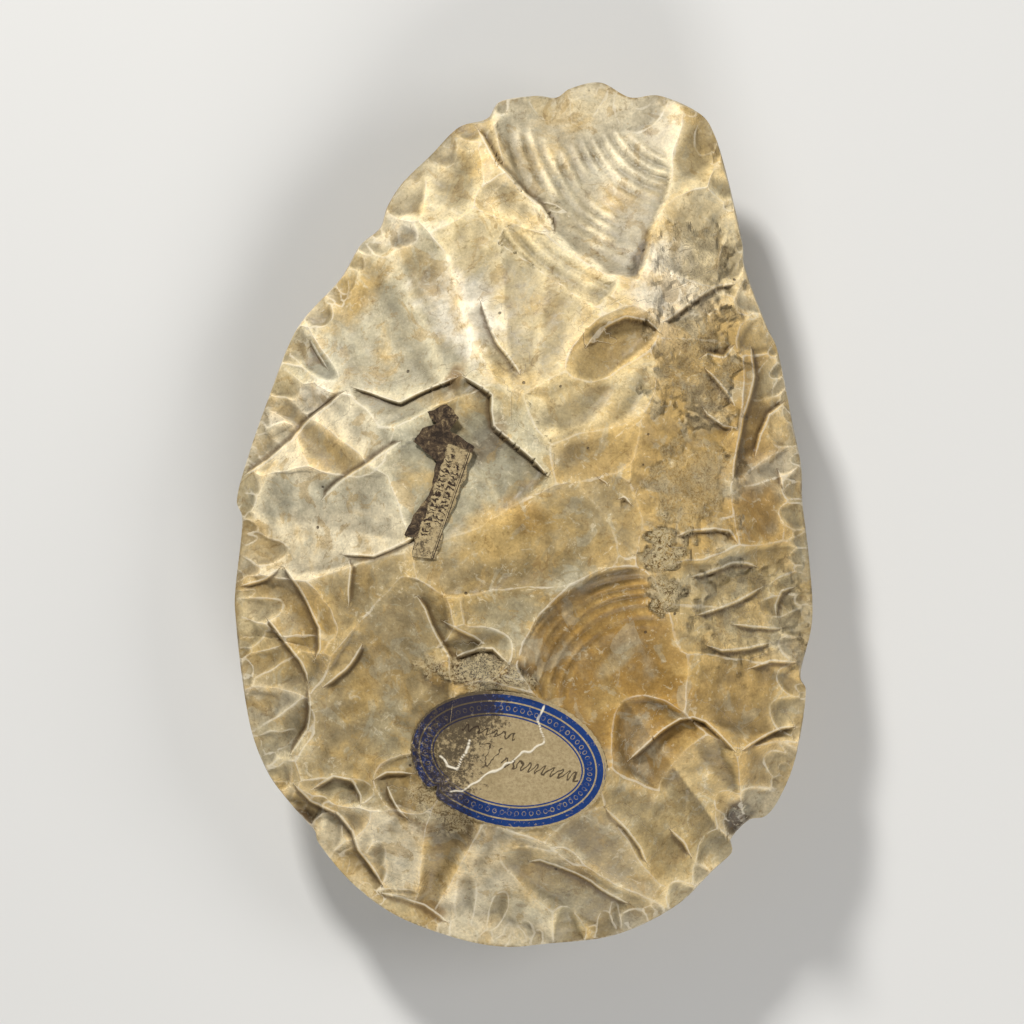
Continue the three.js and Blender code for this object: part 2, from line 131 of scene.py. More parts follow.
# The scars of the flakes struck off the front, each with its patina, from (x1, y1) to (x2, y2),
# its half-width at each end and its hollow. `drop` lowers either end, `arc` (x, y, radius) is
# the curve where the flake broke off, `wall` is the slope beyond the scar's own ground,
# `margin` is how far the scar may run on past that ground, and `ripples` are the waves in it:
# centre x and y, pitch, height, and the nearest and furthest wave.
BROAD_SCARS = [
    # The point: the fan on its right, the two facets below that, the plateau on the left.
    ("bone", 11.5, 71.5, 13, 37.5, 17.5, 3.5, 1.2,
     dict(drop=(0, 0.9), margin=1, wall=1.4, arc=(30.5, 78.5, 40), ripples=(28, 70, 2.1, 0.2, 9, 36))),
    ("sand", 33.5, 66.5, 22, 52, 4, 4, 0.7),
    ("cream", 38.5, 45, 20.5, 48, 7, 3.5, 0.4),
    ("ivory", 33.5, 37.5, 19.5, 38, 1.5, 4.5, 0.2),
    ("straw", -11.5, 61.5, -13.5, 48.5, 3.5, 6, 0.3),
    ("putty", -23, 54, -10, 65.5, 2.5, 2.5, 0.3, dict(drop=(0.3, 0.3))),
    # The upper middle: two large facets with the long ridge between them.
    ("straw", -13.5, 48, 8, 27, 4.5, 11.5, 0.9, dict(drop=(0, 0.3))),
    ("putty", -27.5, 46.5, -17, 19.5, 7.5, 16.5, 1),
    # The left: the wedge, the round hollow with its ledge, and the field below.
    ("bone", -46.5, 6, -21.5, 16.5, 2, 5, 0.1),
    ("ash", -21, 3.5, 0.5, 11, 10, 10, 0.9, dict(drop=(-0.2, 0.3), margin=4)),
    ("sand", -4, 18.5, 5, 6, 3, 1.5, 0),
    ("bone", -49, -2.5, -21, 0, 8, 4.5, 0.9),
    ("khaki", -33.5, -29, -29.5, -7, 2.5, 11.5, 0.5),
    ("khaki", -27.5, -46.5, -18.5, -13, 14, 3.5, 0.9),
    ("khaki", -47, -32, -40, -46.5, 3, 3, 0.4),
    # The middle, and the butt below it.
    ("khaki", -16, -7.5, 13, -2.5, 4, 7, 0.5),
    ("olive", -4, -24, 2, -11, 4, 12.5, 0.3),
    ("olive", -16.5, -37.5, 12, -46.5, 10, 8.5, 0.1),
    ("bone", 11.5, -68, -28.5, -52.5, 6.5, 6.5, 0.5),
    ("khaki", 19.5, -64, 6, -52.5, 3.5, 7, 0.6),
    # The right, from the butt up.
    ("amber", 22, -39, 8.5, -14.5, 8.5, 12, 1.3,
     dict(drop=(0, 0.7), wall=1.2, arc=(20.5, -31.5, 22.5), ripples=(20.5, -31.5, 2, 0.13, 12, 24))),
    ("sand", 30.5, -59.5, 21.5, -39, 7.5, 8.5, 1,
     dict(drop=(0, 0.5), wall=1, arc=(30.5, -55, 21), ripples=(30.5, -55, 2.4, 0.12, 8, 20))),
    ("honey", 44, -46.5, 36.5, -44, 7.5, 4, 0.6, dict(drop=(0, 0.3))),
    ("honey", 48, -30, 25, -26, 6, 5.5, 0.4, dict(drop=(0, 0.4))),
    ("sand", 48.5, -20.5, 21.5, -18, 4, 1.5, 0.2, dict(drop=(0, 0.3))),
    ("sand", 48.5, -12, 22, -13.5, 4.5, 2, 0.3, dict(drop=(0, 0.2))),
    ("honey", 39, -5, 21.5, -8, 3, 3.5, 0, dict(drop=(0.4, 0.4))),
    ("honey", 47.5, 0, 39.5, 1, 7, 7, 0.4),
    ("ochre", 45, 14.5, 41, 12, 6, 3, 0.2, dict(drop=(0.2, 0.3))),
    ("ochre", 37.5, 39.5, 41.5, 26.5, 2.5, 3.5, 0.2),
    ("honey", 29, 27, 28, -4, 8, 9, 0.5),
    ("honey", 37, 32.5, 22, 30, 6, 2, 0),
    ("straw", 2, 15.5, 20.5, 25, 5, 5, 0.8, dict(ripples=(3.5, 28, 6.4, 0.4, 7, 19))),
    ("honey", 5, 8, 19, 17, 3.5, 4, 0.4, dict(ripples=(3.5, 28, 6.4, 0.4, 7, 22))),
    ("khaki", 9, 5.5, 19.5, -2.5, 2, 3.5, 0.1),
]

# Later, smaller scars, cut into those: half ovals struck in from the edge, or whole ovals
# (`closed`) where they lie inside the face.
LATE_SCARS = [
    ("straw", -3, 47, 13.5, 37.5, 1.5, 2.5, 0.2,
     dict(drop=(0.1, 0.5), margin=0.6, round=False, ripples=(28, 70, 2.1, 0.2, 32, 44))),
    ("cream", 4, 49.5, -7.5, 54, 2.5, 3.5, 0, dict(drop=(0.4, 0.1), closed=True)),
    ("ivory", -26, 49.5, -19, 46.5, 3.5, 2.5, 0.3, dict(drop=(0, 0.5))),
    ("mist", -40.5, 30, -32.5, 24, 2.5, 2, 0.3, dict(drop=(0, 0.6))),
    ("ash", -43, 24, -35.5, 23, 2, 1.5, 0.2, dict(drop=(0, 0.5))),
    ("ivory", -46, 18, -35, 19.5, 3.5, 3.5, 0.4, dict(drop=(0, 0.5))),
    ("straw", -48, 10, -41.5, 11.5, 3.5, 3.5, 0.2, dict(drop=(0, 0.5))),
    ("honey", -50, -13, -34, -19, 4.5, 4.5, 0.5, dict(drop=(0, 1.1))),
    ("khaki", -50, -23.5, -35, -26.5, 6, 5, 0.5, dict(drop=(0, 1.1))),
    ("olive", -46.5, -35.5, -36, -33, 6, 5, 0.4, dict(drop=(0, 0.9))),
    ("sand", -37.5, -47.5, -27.5, -46.5, 2.5, 2.5, 0.2, dict(drop=(0.1, 0.8), closed=True)),
    ("honey", -40.5, -53.5, -29, -52, 5, 4.5, 0.2, dict(drop=(0.5, 0.9))),
    ("honey", -32.5, -62, -24, -60, 4.5, 4.5, 0.2, dict(drop=(0.5, 0.9))),
    ("ochre", -23.5, -69.5, -16.5, -65, 6, 5, 0.1, dict(drop=(0.5, 0.8))),
    ("khaki", -16.5, -45, -24.5, -43.5, 4.5, 4.5, 0.2, dict(drop=(0.6, 0.3), closed=True)),
    ("sand", -13, -25.5, -3, -22, 3.5, 3.5, 0.2, dict(drop=(0.4, 0.7), closed=True)),
    ("sand", 19.5, -69.5, -1, -58, 3.5, 3.5, 0.5, dict(drop=(0.3, 0.6), wall=0.8, closed=True)),
    ("umber", 39.5, -54.5, 34.5, -49.5, 3.5, 3.5, 0.3, dict(drop=(0, 1.2))),
    ("amber", 26.5, -41.5, 16.5, -32.5, 6.5, 6, 0.3, dict(drop=(0, 0.8), closed=True)),
    ("ochre", 10.5, 25.5, 20, 32, 3.5, 4, 1, dict(drop=(0, 1), wall=0.9, closed=True)),
    ("sand", 10, 27.5, 15.5, 35, 1, 1.5, 0, dict(drop=(0, 0.2), margin=0.3, round=False)),
    ("amber", 42.5, 28, 40, -3.5, 5, 5.5, 0.3, dict(drop=(0.1, 0.3), wall=0.5)),
    ("honey", 48, 6, 42.5, 7, 2.5, 2.5, 0.2, dict(drop=(0, 0.8))),
    ("olive", 49, -15.5, 42, -15.5, 2.5, 2.5, 0.2, dict(drop=(0, 0.6))),
]

# Steps where a flake broke off short: the drop and how far it runs out into the low ground,
# then the line it follows, with the high ground on its left.
STEPS = [
    # The wall on the left of the point's fan.
    (1.2, 5, [(5, 46.5), (4.5, 49), (3, 52), (-0.5, 54.5), (-4.5, 59), (-8, 65.5)]),
    # The two ledges of the round hollow.
    (1, 6, [(-29, 21.5), (-25, 20.5), (-20.5, 19), (-14, 22), (-10.5, 23.5)]),
    (1.7, 7, [
        (-10.5, 23.5), (-5.5, 20), (-5.5, 17.5), (-5, 14.5), (-1.5, 11.5), (1.5, 9), (4.5, 6),
    ]),
    # The left: the wedge's edge, then the stepped flakes below the grey field.
    (0.7, 4, [(-29.5, 21), (-32.5, 18.5), (-37, 15), (-39, 12.5), (-41, 11), (-47.5, 6.5)]),
    (0.6, 4, [(-20, 12.5), (-26, 9), (-28.5, 7.5), (-32, 4), (-34, 2)]),
    (0.6, 3, [(-36.5, 30), (-35, 28), (-32.5, 24.5)]),
    (0.6, 4, [(-48, -12), (-43.5, -10.5), (-40.5, -8.5)]),
    (0.6, 3, [(-31, -7), (-28, -7), (-25, -7), (-22, -5.5), (-19, -4), (-16, -2.5)]),
    (1.3, 5, [
        (-40.5, -8.5), (-38, -12.5), (-36, -16), (-34.5, -19), (-34.5, -22.5), (-35.5, -24.5),
    ]),
    (1.2, 5, [
        (-43.5, -17), (-41.5, -19.5), (-39.5, -22), (-37.5, -24.5), (-36.5, -26.5), (-36, -28.5),
    ]),
    (0.9, 4, [(-36, -28.5), (-36, -32), (-36.5, -36), (-38, -38.5), (-39.5, -40.5)]),
    (0.6, 3, [(-34, -29.5), (-32, -28), (-30, -26), (-27, -21)]),
    (0.5, 2.5, [(-29.5, -15.5), (-29.5, -13), (-29, -9.5), (-29.5, -7.5)]),
    # The middle, above the oval label.
    (0.7, 3, [
        (-12.5, -28), (-12.5, -24), (-14, -21.5), (-15.5, -18.5), (-16.5, -16), (-18, -13.5),
    ]),
    (0.8, 2.5, [(-12.5, -24.5), (-10, -23), (-7.5, -22), (-5, -22), (-3, -24), (-1.5, -25.5)]),
    (0.5, 3, [(-14, -17.5), (-10.5, -19.5), (-6, -21.5)]),
    # The left of the butt.
    (0.8, 2.5, [(-36, -46.5), (-32, -44), (-29, -44.5), (-27.5, -47), (-27.5, -49)]),
    (0.7, 2.5, [(-25.5, -44.5), (-23, -43), (-20.5, -43), (-18, -43.5)]),
    (0.6, 2.5, [(-23, -44.5), (-22, -47), (-20.5, -49.5), (-19, -51)]),
    (1.4, 4, [
        (-39.5, -45), (-36, -48.5), (-31, -50.5), (-28.5, -53.5), (-27.5, -56.5), (-23, -63),
    ]),
    (0.9, 3, [(-24.5, -63.5), (-20, -64.5), (-16.5, -66), (-12, -69.5)]),
    # The right of the butt.
    (0.9, 3, [(0.5, -58.5), (3, -58), (5.5, -59), (11.5, -62), (18, -66.5)]),
    (0.5, 2.5, [(13.5, -48.5), (16.5, -52), (19.5, -55.5), (21, -59)]),
    (0.5, 2.5, [(24.5, -52), (27, -55), (28.5, -58)]),
    (1.3, 5, [
        (17.5, -41), (20.5, -38.5), (23, -36.5), (26.5, -34), (28.5, -33.5), (30.5, -34.5),
        (33, -37), (35.5, -40),
    ]),
    (1.1, 4, [(35.5, -40), (37.5, -39), (40.5, -37.5), (43.5, -36), (46.5, -35.5)]),
    # The stepped ground on the right.
    (0.6, 2.5, [(25, -4.5), (28, -3), (32, -2.5), (34.5, -3), (36, -5.5)]),
    (0.6, 2.5, [(27.5, -10.5), (31.5, -9), (35, -8), (37.5, -8.5), (39.5, -9.5)]),
    (0.5, 2, [(28.5, -16.5), (32.5, -15.5), (36, -14.5), (38, -13.5), (40.5, -12)]),
    (0.5, 2, [(34.5, -18.5), (38.5, -19), (44, -19)]),
    (0.6, 2.5, [(30, -22), (33, -23), (37.5, -22.5), (41.5, -21.5)]),
    (0.6, 2.5, [(37, -26), (41, -24.5), (46.5, -25)]),
    (0.5, 2.5, [(42.5, -17.5), (42.5, -15), (43.5, -13), (46.5, -12.5)]),
    # The long brown facet on the right edge, and the torn ground beside it.
    (1.1, 6, [(35.5, 5.5), (36, 12), (36.5, 16), (38.5, 23), (38.5, 28.5)]),
    (0.8, 4, [(44.5, 19.5), (41, 17), (39.5, 13.5), (39, 9.5)]),
    (0.6, 3, [(42.5, 8), (43.5, 6), (44, 3.5)]),
    (0.7, 2.5, [(30, 25), (32, 23), (34, 20.5), (35.5, 18)]),
    (0.6, 2.5, [(36, 28.5), (33.5, 26.5), (31, 27), (29.5, 26)]),
    (0.6, 2.5, [(30, 18.5), (31, 17), (33.5, 15), (36, 14.5)]),
    (0.8, 3, [(22.5, 32), (26.5, 34.5), (32.5, 38), (36.5, 39)]),
    # The middle ridge's own step, and the hollow on its right.
    (0.5, 4, [(-7.5, 36.5), (-4, 28.5), (-0.5, 23)]),
    (0.8, 3, [(10, 27.5), (13.5, 31), (17, 33), (20.5, 32.5), (23, 30)]),
    (0.5, 2.5, [(15, 32.5), (13, 30), (11.5, 28)]),
    (0.6, 2, [(12, 6.5), (13.5, 5.5), (14, 4.5)]),
    (0.7, 2, [(15, 2.5), (16.5, 3), (18, 1)]),
]

# Stains laid over the patina: x, y, half-lengths, turn in degrees, colour, strength.
STAINS = [
    # Brighter and yellower fields round the point.
    ("ivory", -10, 34, 9, 6, -45, 0.8),
    ("ivory", 22, 42, 6, 4, 30, 0.5),
    ("ochre", -29, 36, 7, 3, 45, 0.9),
    ("straw", 8, 52, 10, 4, -60, 0.4),
    ("sand", -4, 58, 3, 7, 40, 0.5),
    ("umber", 19.5, 43, 1.2, 4.5, -20, 0.7),
    # The grey and blue field on the left.
    ("slate", -30, 4, 9, 3.5, 10, 0.5),
    ("slate", -41, 3, 3, 5, 0, 0.5),
    ("slate", -19, 12, 7, 2, -15, 0.5),
    ("olive", -12, 17, 4, 2, -60, 0.7),
    ("umber", -6, 12, 2.5, 5, -35, 0.7),
    # The ochre and brown middle.
    ("ochre", -4, -3, 9, 5, 20, 0.8),
    ("amber", 0, 0, 5, 2.5, -30, 0.6),
    ("olive", 2, -9, 12, 2.5, 10, 0.8),
    ("slate", 10, -10, 6, 3, 20, 0.5),
    ("ash", -2, -17, 6, 3.5, 10, 0.5),
    ("honey", -24, -27, 5, 6, 20, 0.5),
    ("ash", -22, -36, 4, 6, 10, 0.4),
    # The honey and brown right, and the butt.
    ("amber", 24, -32, 6, 3, 30, 0.7),
    ("ash", 16, -24, 5, 1.5, 40, 0.5),
    ("ochre", 24, -2, 7, 5, 0, 0.4),
    ("ash", 40, -20, 6, 3, 0, 0.3),
    ("olive", 30, 29, 4, 5, 20, 0.4),
    ("ash", 0, -66, 9, 3, 0, 0.5),
    ("ochre", -9, -60, 6, 3, 20, 0.3),
    ("hazel", 9, -60, 5, 2, -40, 0.5),
    ("umber", -37, -51.5, 3, 2, -50, 0.95),
    ("soil", 36.5, -51.5, 2.6, 3.4, -20, 0.95),
    ("hazel", -16, -66.5, 3, 1.5, -25, 0.8),
    # Soil and glue round the labels.
    ("umber", -14, -51, 6.5, 5, -40, 0.75),
    ("umber", -18, -45, 3, 4, 0, 0.4),
    ("soil", -7, -26.5, 8, 3, -10, 0.85),
    ("umber", -12, -27, 5, 2.5, 0, 0.6),
    ("olive", -17, -48, 9, 4, -25, 0.6),
    ("soil", -10, -53, 5, 2.5, -30, 0.45),
    ("hazel", -11.5, 23, 1.5, 3, -20, 0.8),
]

# Rough and crumbling ground: x, y, half-lengths, turn in degrees, how rough, how crumbly.
ROUGH_GROUND = [
    (29, 26, 7, 12, 0, 0.8, 0.2),
    (38, -16, 9, 9, 0, 0.6, 0.1),
    (29, 43, 8, 6, 0, 0.7, 0.1),
    (28, 5, 7, 10, 0, 0.35, 0.3),
    (24, -5.5, 4.5, 3.8, 20, 0.7, 1),
    (24, -13, 2.8, 3.6, 0, 0.7, 1),
    (-7, -26.5, 8, 3, -10, 0.3, 0.7),
    (-13, -50, 6, 5, -30, 0.1, 0.5),
]

# ---- The outline ------------------------------------------------------------------------------


def spread(index, kind):
    """A repeatable spread of numbers from 0 to 1."""
    value = math.sin(index * 12.9898 + kind * 78.233) * 43758.5453
    return value - math.floor(value)


def sample_edge():
    """The edge as a smooth closed line through the outline's corners, centred on its box."""
    corners = np.array(OUTLINE, float)[:, None, :]
    before, after, beyond = (np.roll(corners, shift, axis=0) for shift in (1, -1, -2))
    lead, trail = 0.5 * (after - before), 0.5 * (beyond - corners)
    part = np.linspace(0, 1, RIM_STEPS, endpoint=False)[None, :, None]
    bend = 3 * (after - corners) - 2 * lead - trail
    ease = 2 * (corners - after) + lead + trail
    line = (corners + lead * part + bend * part**2 + ease * part**3).reshape(-1, 2)
    return line - (line.min(0) + line.max(0)) / 2


EDGE_LINE = sample_edge()
EDGE_ANGLES = np.arctan2(EDGE_LINE[:, 1] - THICKEST[1], EDGE_LINE[:, 0] - THICKEST[0])
EDGE_RADII = np.hypot(EDGE_LINE[:, 0] - THICKEST[0], EDGE_LINE[:, 1] - THICKEST[1])

AXE_LOW, AXE_HIGH = (Vector(corner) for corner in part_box("hand_axe"))
MM = (AXE_HIGH.y - AXE_LOW.y) / np.ptp(EDGE_LINE[:, 1])
PLAN_CENTRE = (AXE_LOW + AXE_HIGH) / 2
TABLE = AXE_LOW.z


def edge_radius(angle):
    return np.interp(angle, EDGE_ANGLES, EDGE_RADII, period=2 * np.pi)


def inset_from_edge(x, y):
    """How far in from the edge a place is; negative outside."""
    dx, dy = x - THICKEST[0], y - THICKEST[1]
    return edge_radius(np.arctan2(dy, dx)) - np.hypot(dx, dy)


def edge_height(x, y):
    wave = np.sin(x / 19 + y / 31 + 0.7) + 0.6 * np.sin(y / 13 - x / 29)
    return EDGE_HEIGHT + EDGE_WAVE * wave


def smooth_step(value, start, end):
    part = np.clip((value - start) / (end - start), 0, 1)
    return part * part * (3 - 2 * part)


def noise_over(x, y, size, seed):
    """Smooth noise from about -1 to 1 whose lumps are about `size` across."""
    places = zip(np.ravel(x) / size, np.ravel(y) / size)
    return np.array([noise.noise((u, v, seed)) for u, v in places]).reshape(np.shape(x))


def oval_share(x, y, centre_x, centre_y, half_long, half_short, turn):
    """0 at the middle of an oval, 1 on its rim."""
    cos, sin = math.cos(math.radians(turn)), math.sin(math.radians(turn))
    dx, dy = x - centre_x, y - centre_y
    return np.hypot((dx * cos + dy * sin) / half_long, (dy * cos - dx * sin) / half_short)


# ---- The faces, as heights above (or depths below) the cutting edge ---------------------------


def swell(rise):
    """The face before any flake was struck off it."""
    def dome(x, y):
        reach = np.hypot(x - THICKEST[0], y - THICKEST[1])
        inset = inset_from_edge(x, y)
        fullness = 1 - (reach / (reach + np.maximum(inset, 0) + TINY)) ** 2
        thinning = 1 - TIP_THINNING * np.clip((y + 5) / 75, -0.2, 1)
        inside = rise * thinning * np.maximum(fullness, 0) ** SWELL_POWER
        return np.where(inset < 0, 0.15 * inset, inside)
    return dome


def ripple_waves(x, y, centre_x, centre_y, pitch, height, nearest, furthest):
    """Rings of waves spreading from where the blow fell: how many waves out, and their height."""
    reach = np.hypot(x - centre_x, y - centre_y)
    turn = np.arctan2(y - centre_y, x - centre_x)
    waves = reach / pitch + 0.35 * noise_over(x, y, 3 * pitch + 4, 51.5)
    waves = waves + 0.35 * noise_over(reach, 0.6 * turn, 2.2 * pitch, 57.5)
    fade = smooth_step(reach, nearest, nearest + 2) * (1 - smooth_step(reach, furthest - 2, furthest))
    strength = np.clip(0.7 + 1.8 * noise_over(x, y, 7, 53.5), 0.08, 1.5)
    return waves, height * fade * strength


# A scar or other ground: its height over the plan, its patina, and the ripples in it.
Ground = namedtuple("Ground", "height tint ripples")


def scar(ground, row, **usual):
    """One flake's scar: a hollowed patch hung from the ground's heights at its four corners."""
    tint, x1, y1, x2, y2, half1, half2, hollow = row[:8]
    options = {**usual, **(row[8] if len(row) > 8 else {})}
    hollow = DEEPER * hollow
    drop = options.get("drop", (0, 0))
    margin, wall = options.get("margin", 2), options.get("wall", 0.9)
    length = math.hypot(x2 - x1, y2 - y1)
    ux, uy = (x2 - x1) / length, (y2 - y1) / length
    half_mean = (half1 + half2) / 2
    sides = np.array([half1, -half1, half2, -half2])
    ends_x, ends_y = np.array([x1, x1, x2, x2]), np.array([y1, y1, y2, y2])
    left1, right1, left2, right2 = ground(ends_x - sides * uy, ends_y + sides * ux)
    height1, height2 = (left1 + right1) / 2 - drop[0], (left2 + right2) / 2 - drop[1]
    slope1, slope2 = (left1 - right1) / (2 * half1), (left2 - right2) / (2 * half2)
    pitch = 1.6 + 0.06 * length
    ripples = options.get("ripples", (x1, y1, pitch, 0.022 * pitch, 0, 1.6 * length))

    def height_over(x, y):
        along = ((x - x1) * ux + (y - y1) * uy) / length
        across = (y - y1) * ux - (x - x1) * uy
        part = np.clip(along, 0, 1)
        half = half1 + (half2 - half1) * part
        if options.get("round"):
            behind = -3 * along if options.get("closed") else 0
            oval = np.hypot(np.maximum(along, behind), across / half)
            beyond = (oval - 1) * min(length, half_mean) - margin
        else:
            past_end, past_side = (along - part) * length, np.maximum(np.abs(across) - half, 0)
            beyond = np.hypot(past_end, past_side) - margin
        if "arc" in options:
            arc_x, arc_y, radius = options["arc"]
            beyond = np.maximum(beyond, np.hypot(x - arc_x, y - arc_y) - radius)
        slope = slope1 + (slope2 - slope1) * part
        belly = 1 - 0.5 * (2 * along - 1) ** 2 - 0.5 * (across / half_mean) ** 2
        ground_height = height1 + (height2 - height1) * along + slope * across
        return ground_height - hollow * belly + wall * np.maximum(beyond, 0)

    return Ground(height_over, tint, ripples)


def lowest(layers):
    return lambda x, y: np.min([layer.height(x, y) for layer in layers], axis=0)


def late_scar(ground, row):
    return scar(ground, row, round=True, margin=0, wall=1.1)


def edge_flakes(count, first, tints):
    """Flakes all round the edge: each one's chances, its tint, the edge's radius and its way."""
    for index in range(count):
        pick = [spread(index + first, kind) for kind in range(6)]
        angle = 2 * math.pi * (index + 0.6 * pick[1]) / count
        cos, sin = math.cos(angle), math.sin(angle)
        radius = float(edge_radius(math.atan2(sin, cos)))
        yield pick, tints[index % len(tints)], radius, cos, sin


def inward(tint, outer, inner, slew, cos, sin):
    """The start of a scar's row: its patina, and the two ends of its line from the edge inwards."""
    return (
        tint, THICKEST[0] + outer * cos, THICKEST[1] + outer * sin,
        THICKEST[0] + inner * cos - slew * sin, THICKEST[1] + inner * sin + slew * cos,
    )


def edge_chips(ground, count, first, size, tints):
    """Small chips all round the edge, struck inwards from it."""
    chips = []
    for pick, tint, radius, cos, sin in edge_flakes(count, first, tints):
        half = size * (1.5 + 2.3 * pick[2] ** 2)
        inner = radius - size * (2.5 + 4.5 * pick[3] ** 1.5)
        line = inward(tint, radius + 0.3, inner, 2 * (pick[4] - 0.5), cos, sin)
        row = (*line, 1.25 * half, half, 0.1)
        drop = (0, size * (0.3 + 0.6 * pick[5]))
        chips.append(scar(ground, row, drop=drop, margin=0, wall=1, round=True))
    return chips


def back_ring(ground, count, first, reach, hollow, drop, tints, **shape):
    """A ring of flakes struck in from the edge all round the back."""
    flakes = []
    for pick, tint, radius, cos, sin in edge_flakes(count, first, tints):
        inner, slew = radius * (reach + 0.15 * pick[2]), radius * 0.3 * (pick[3] - 0.5)
        line = inward(tint, radius - 0.5, inner, slew, cos, sin)
        row = (*line, radius * 2.8 / count, radius * 2.4 / count, hollow + 0.6 * pick[4])
        flakes.append(scar(ground, row, drop=(0, drop), **shape))
    return flakes


def front_layers():
    dome = swell(FRONT_RISE)
    skin = Ground(lambda x, y: dome(x, y) + 0.3, "sand", None)
    broad = [skin] + [scar(dome, row) for row in BROAD_SCARS]
    late = broad + [late_scar(lowest(broad), row) for row in LATE_SCARS]
    chipped = late + edge_chips(lowest(late), 54, 0, 1, ("cream", "straw", "ochre", "bone"))
    return chipped + edge_chips(lowest(late), 130, 500, 0.45, ("bone", "cream", "ochre"))


def back_layers():
    dome = swell(BACK_RISE)
    tints = ("khaki", "ash", "honey", "sand", "olive")
    skin = Ground(lambda x, y: dome(x, y) + 0.3, "khaki", None)
    broad = [skin] + back_ring(dome, 9, 200, 0.22, 0.8, 0, tints, margin=3)
    later = broad + back_ring(lowest(broad), 13, 300, 0.55, 0.2, 0.9, tints[::-1], margin=0, round=True)
    return later + edge_chips(lowest(later), 34, 100, 1, ("straw", "sand", "honey"))


# ---- The stone --------------------------------------------------------------------------------


def place_on_plan(u, v):
    """A place on the square sheet laid out over the plan: the sheet's rim falls on the edge."""
    dx, dy = u * np.sqrt(1 - v * v / 2), v * np.sqrt(1 - u * u / 2)
    angle = np.arctan2(dy, dx)
    radius = np.hypot(dx, dy) * edge_radius(angle)
    return THICKEST[0] + radius * np.cos(angle), THICKEST[1] + radius * np.sin(angle)


def waver(x, y, fine=0.3):
    """The scars' boundaries waver a little, as a fracture does."""
    hem = smooth_step(inset_from_edge(x, y), 0, 1.5)
    across = 0.7 * noise_over(x, y, 8, 1.5) + fine * noise_over(x, y, 2.5, 7.5)
    along = 0.7 * noise_over(x, y, 8, 3.5) + fine * noise_over(x, y, 2.5, 9.5)
    return x + hem * across, y + hem * along


def patches(x, y):
    """How rough and how crumbly the ground is at each place."""
    rough, crumbly = np.zeros_like(x), np.zeros_like(x)
    ragged = 0.6 * noise_over(x, y, 3, 21.5) + 0.5 * noise_over(x, y, 1.2, 23.5)
    for centre_x, centre_y, half_long, half_short, turn, roughness, crumb in ROUGH_GROUND:
        share = oval_share(x, y, centre_x, centre_y, half_long, half_short, turn) + ragged
        inside = 1 - smooth_step(share, 0.7, 1.15)
        rough = np.maximum(rough, roughness * inside)
        crumbly = np.maximum(crumbly, crumb * inside)
    return rough, crumbly


def grain_heights(x, y, rough):
    """The small relief of the broken surface, torn into steps where the ground is rough."""
    swells = 0.3 * noise_over(x, y, 11, 39.5) + 0.1 * noise_over(x, y, 4, 31.5)
    torn = noise_over(x, y, 5, 35.5) + 0.4 * noise_over(x, y, 1.8, 37.5)
    steps = torn + 0.11 * np.sin(14 * torn)
    return swells + 0.015 * noise_over(x, y, 1.4, 33.5) + rough * (0.9 * steps - 0.3)


def beside_step(line, x, y):
    """How far past a step each place is and how far along it, its length, and the way down it."""
    corners = np.array(line, float)
    nearest = np.full(x.shape, np.inf)
    past, walked, way_x, way_y = np.zeros((4, *x.shape))
    start = 0
    for (x1, y1), (x2, y2) in zip(corners[:-1], corners[1:]):
        length = math.hypot(x2 - x1, y2 - y1)
        ux, uy = (x2 - x1) / length, (y2 - y1) / length
        along = np.clip((x - x1) * ux + (y - y1) * uy, 0, length)
        dx, dy = x - x1 - along * ux, y - y1 - along * uy
        off = np.hypot(dx, dy)
        closer = off < nearest
        below = np.sign(dx * uy - dy * ux)
        nearest = np.where(closer, off, nearest)
        past = np.where(closer, below * off, past)
        walked = np.where(closer, start + along, walked)
        way_x = np.where(closer, below * dx / np.maximum(off, TINY), way_x)
        way_y = np.where(closer, below * dy / np.maximum(off, TINY), way_y)
        start += length
    return past, walked, start, way_x, way_y


def near_step(line, reach, x, y):
    corners = np.array(line, float)
    low, high = corners.min(0) - 4 * reach, corners.max(0) + 4 * reach
    return (x > low[0]) & (x < high[0]) & (y > low[1]) & (y < high[1])


def drawn_onto_steps(x, y, fixed):
    """Moves each vertex beside a step onto its brow or onto its foot."""
    bent_x, bent_y = waver(x, y, 0)
    shift_x, shift_y = np.zeros((2, len(x)))
    for _, reach, line in STEPS:
        near = near_step(line, reach, bent_x, bent_y) & ~fixed
        past, walked, length, way_x, way_y = beside_step(line, bent_x[near], bent_y[near])
        for target in (0, STEP_WIDTH):
            off = target - past
            pulled = (np.abs(off) < 0.45 * STEP_WIDTH) & (walked > 0.3) & (walked < length - 0.3)
            shift_x[near] = np.where(pulled, off * way_x, shift_x[near])
            shift_y[near] = np.where(pulled, off * way_y, shift_y[near])
    return x + shift_x, y + shift_y


def stepped(x, y):
    """How far each place is raised or lowered beside the steps, and how far past one it lies."""
    lift, beyond = np.zeros_like(x), np.full(x.shape, FAR)
    for drop, reach, line in STEPS:
        near = near_step(line, reach, x, y)
        past, walked, length, _, _ = beside_step(line, x[near], y[near])
        ends = smooth_step(walked, 0, 2.5) * smooth_step(length - walked, 0, 2.5)
        lip = STEP_LIP * np.exp(np.minimum(past, 0) / (0.4 * reach))
        wall = (1 + STEP_LIP) * np.clip(past / STEP_WIDTH, 0, 1)
        running_out = np.exp(-np.maximum(past - STEP_WIDTH, 0) / reach)
        lift[near] += drop * ends * (lip - wall) * running_out
        tapered = past / np.maximum(ends, 0.05)
        closest = np.abs(tapered) < np.abs(beyond[near])
        beyond[near] = np.where(closest, tapered, beyond[near])
    return lift, beyond


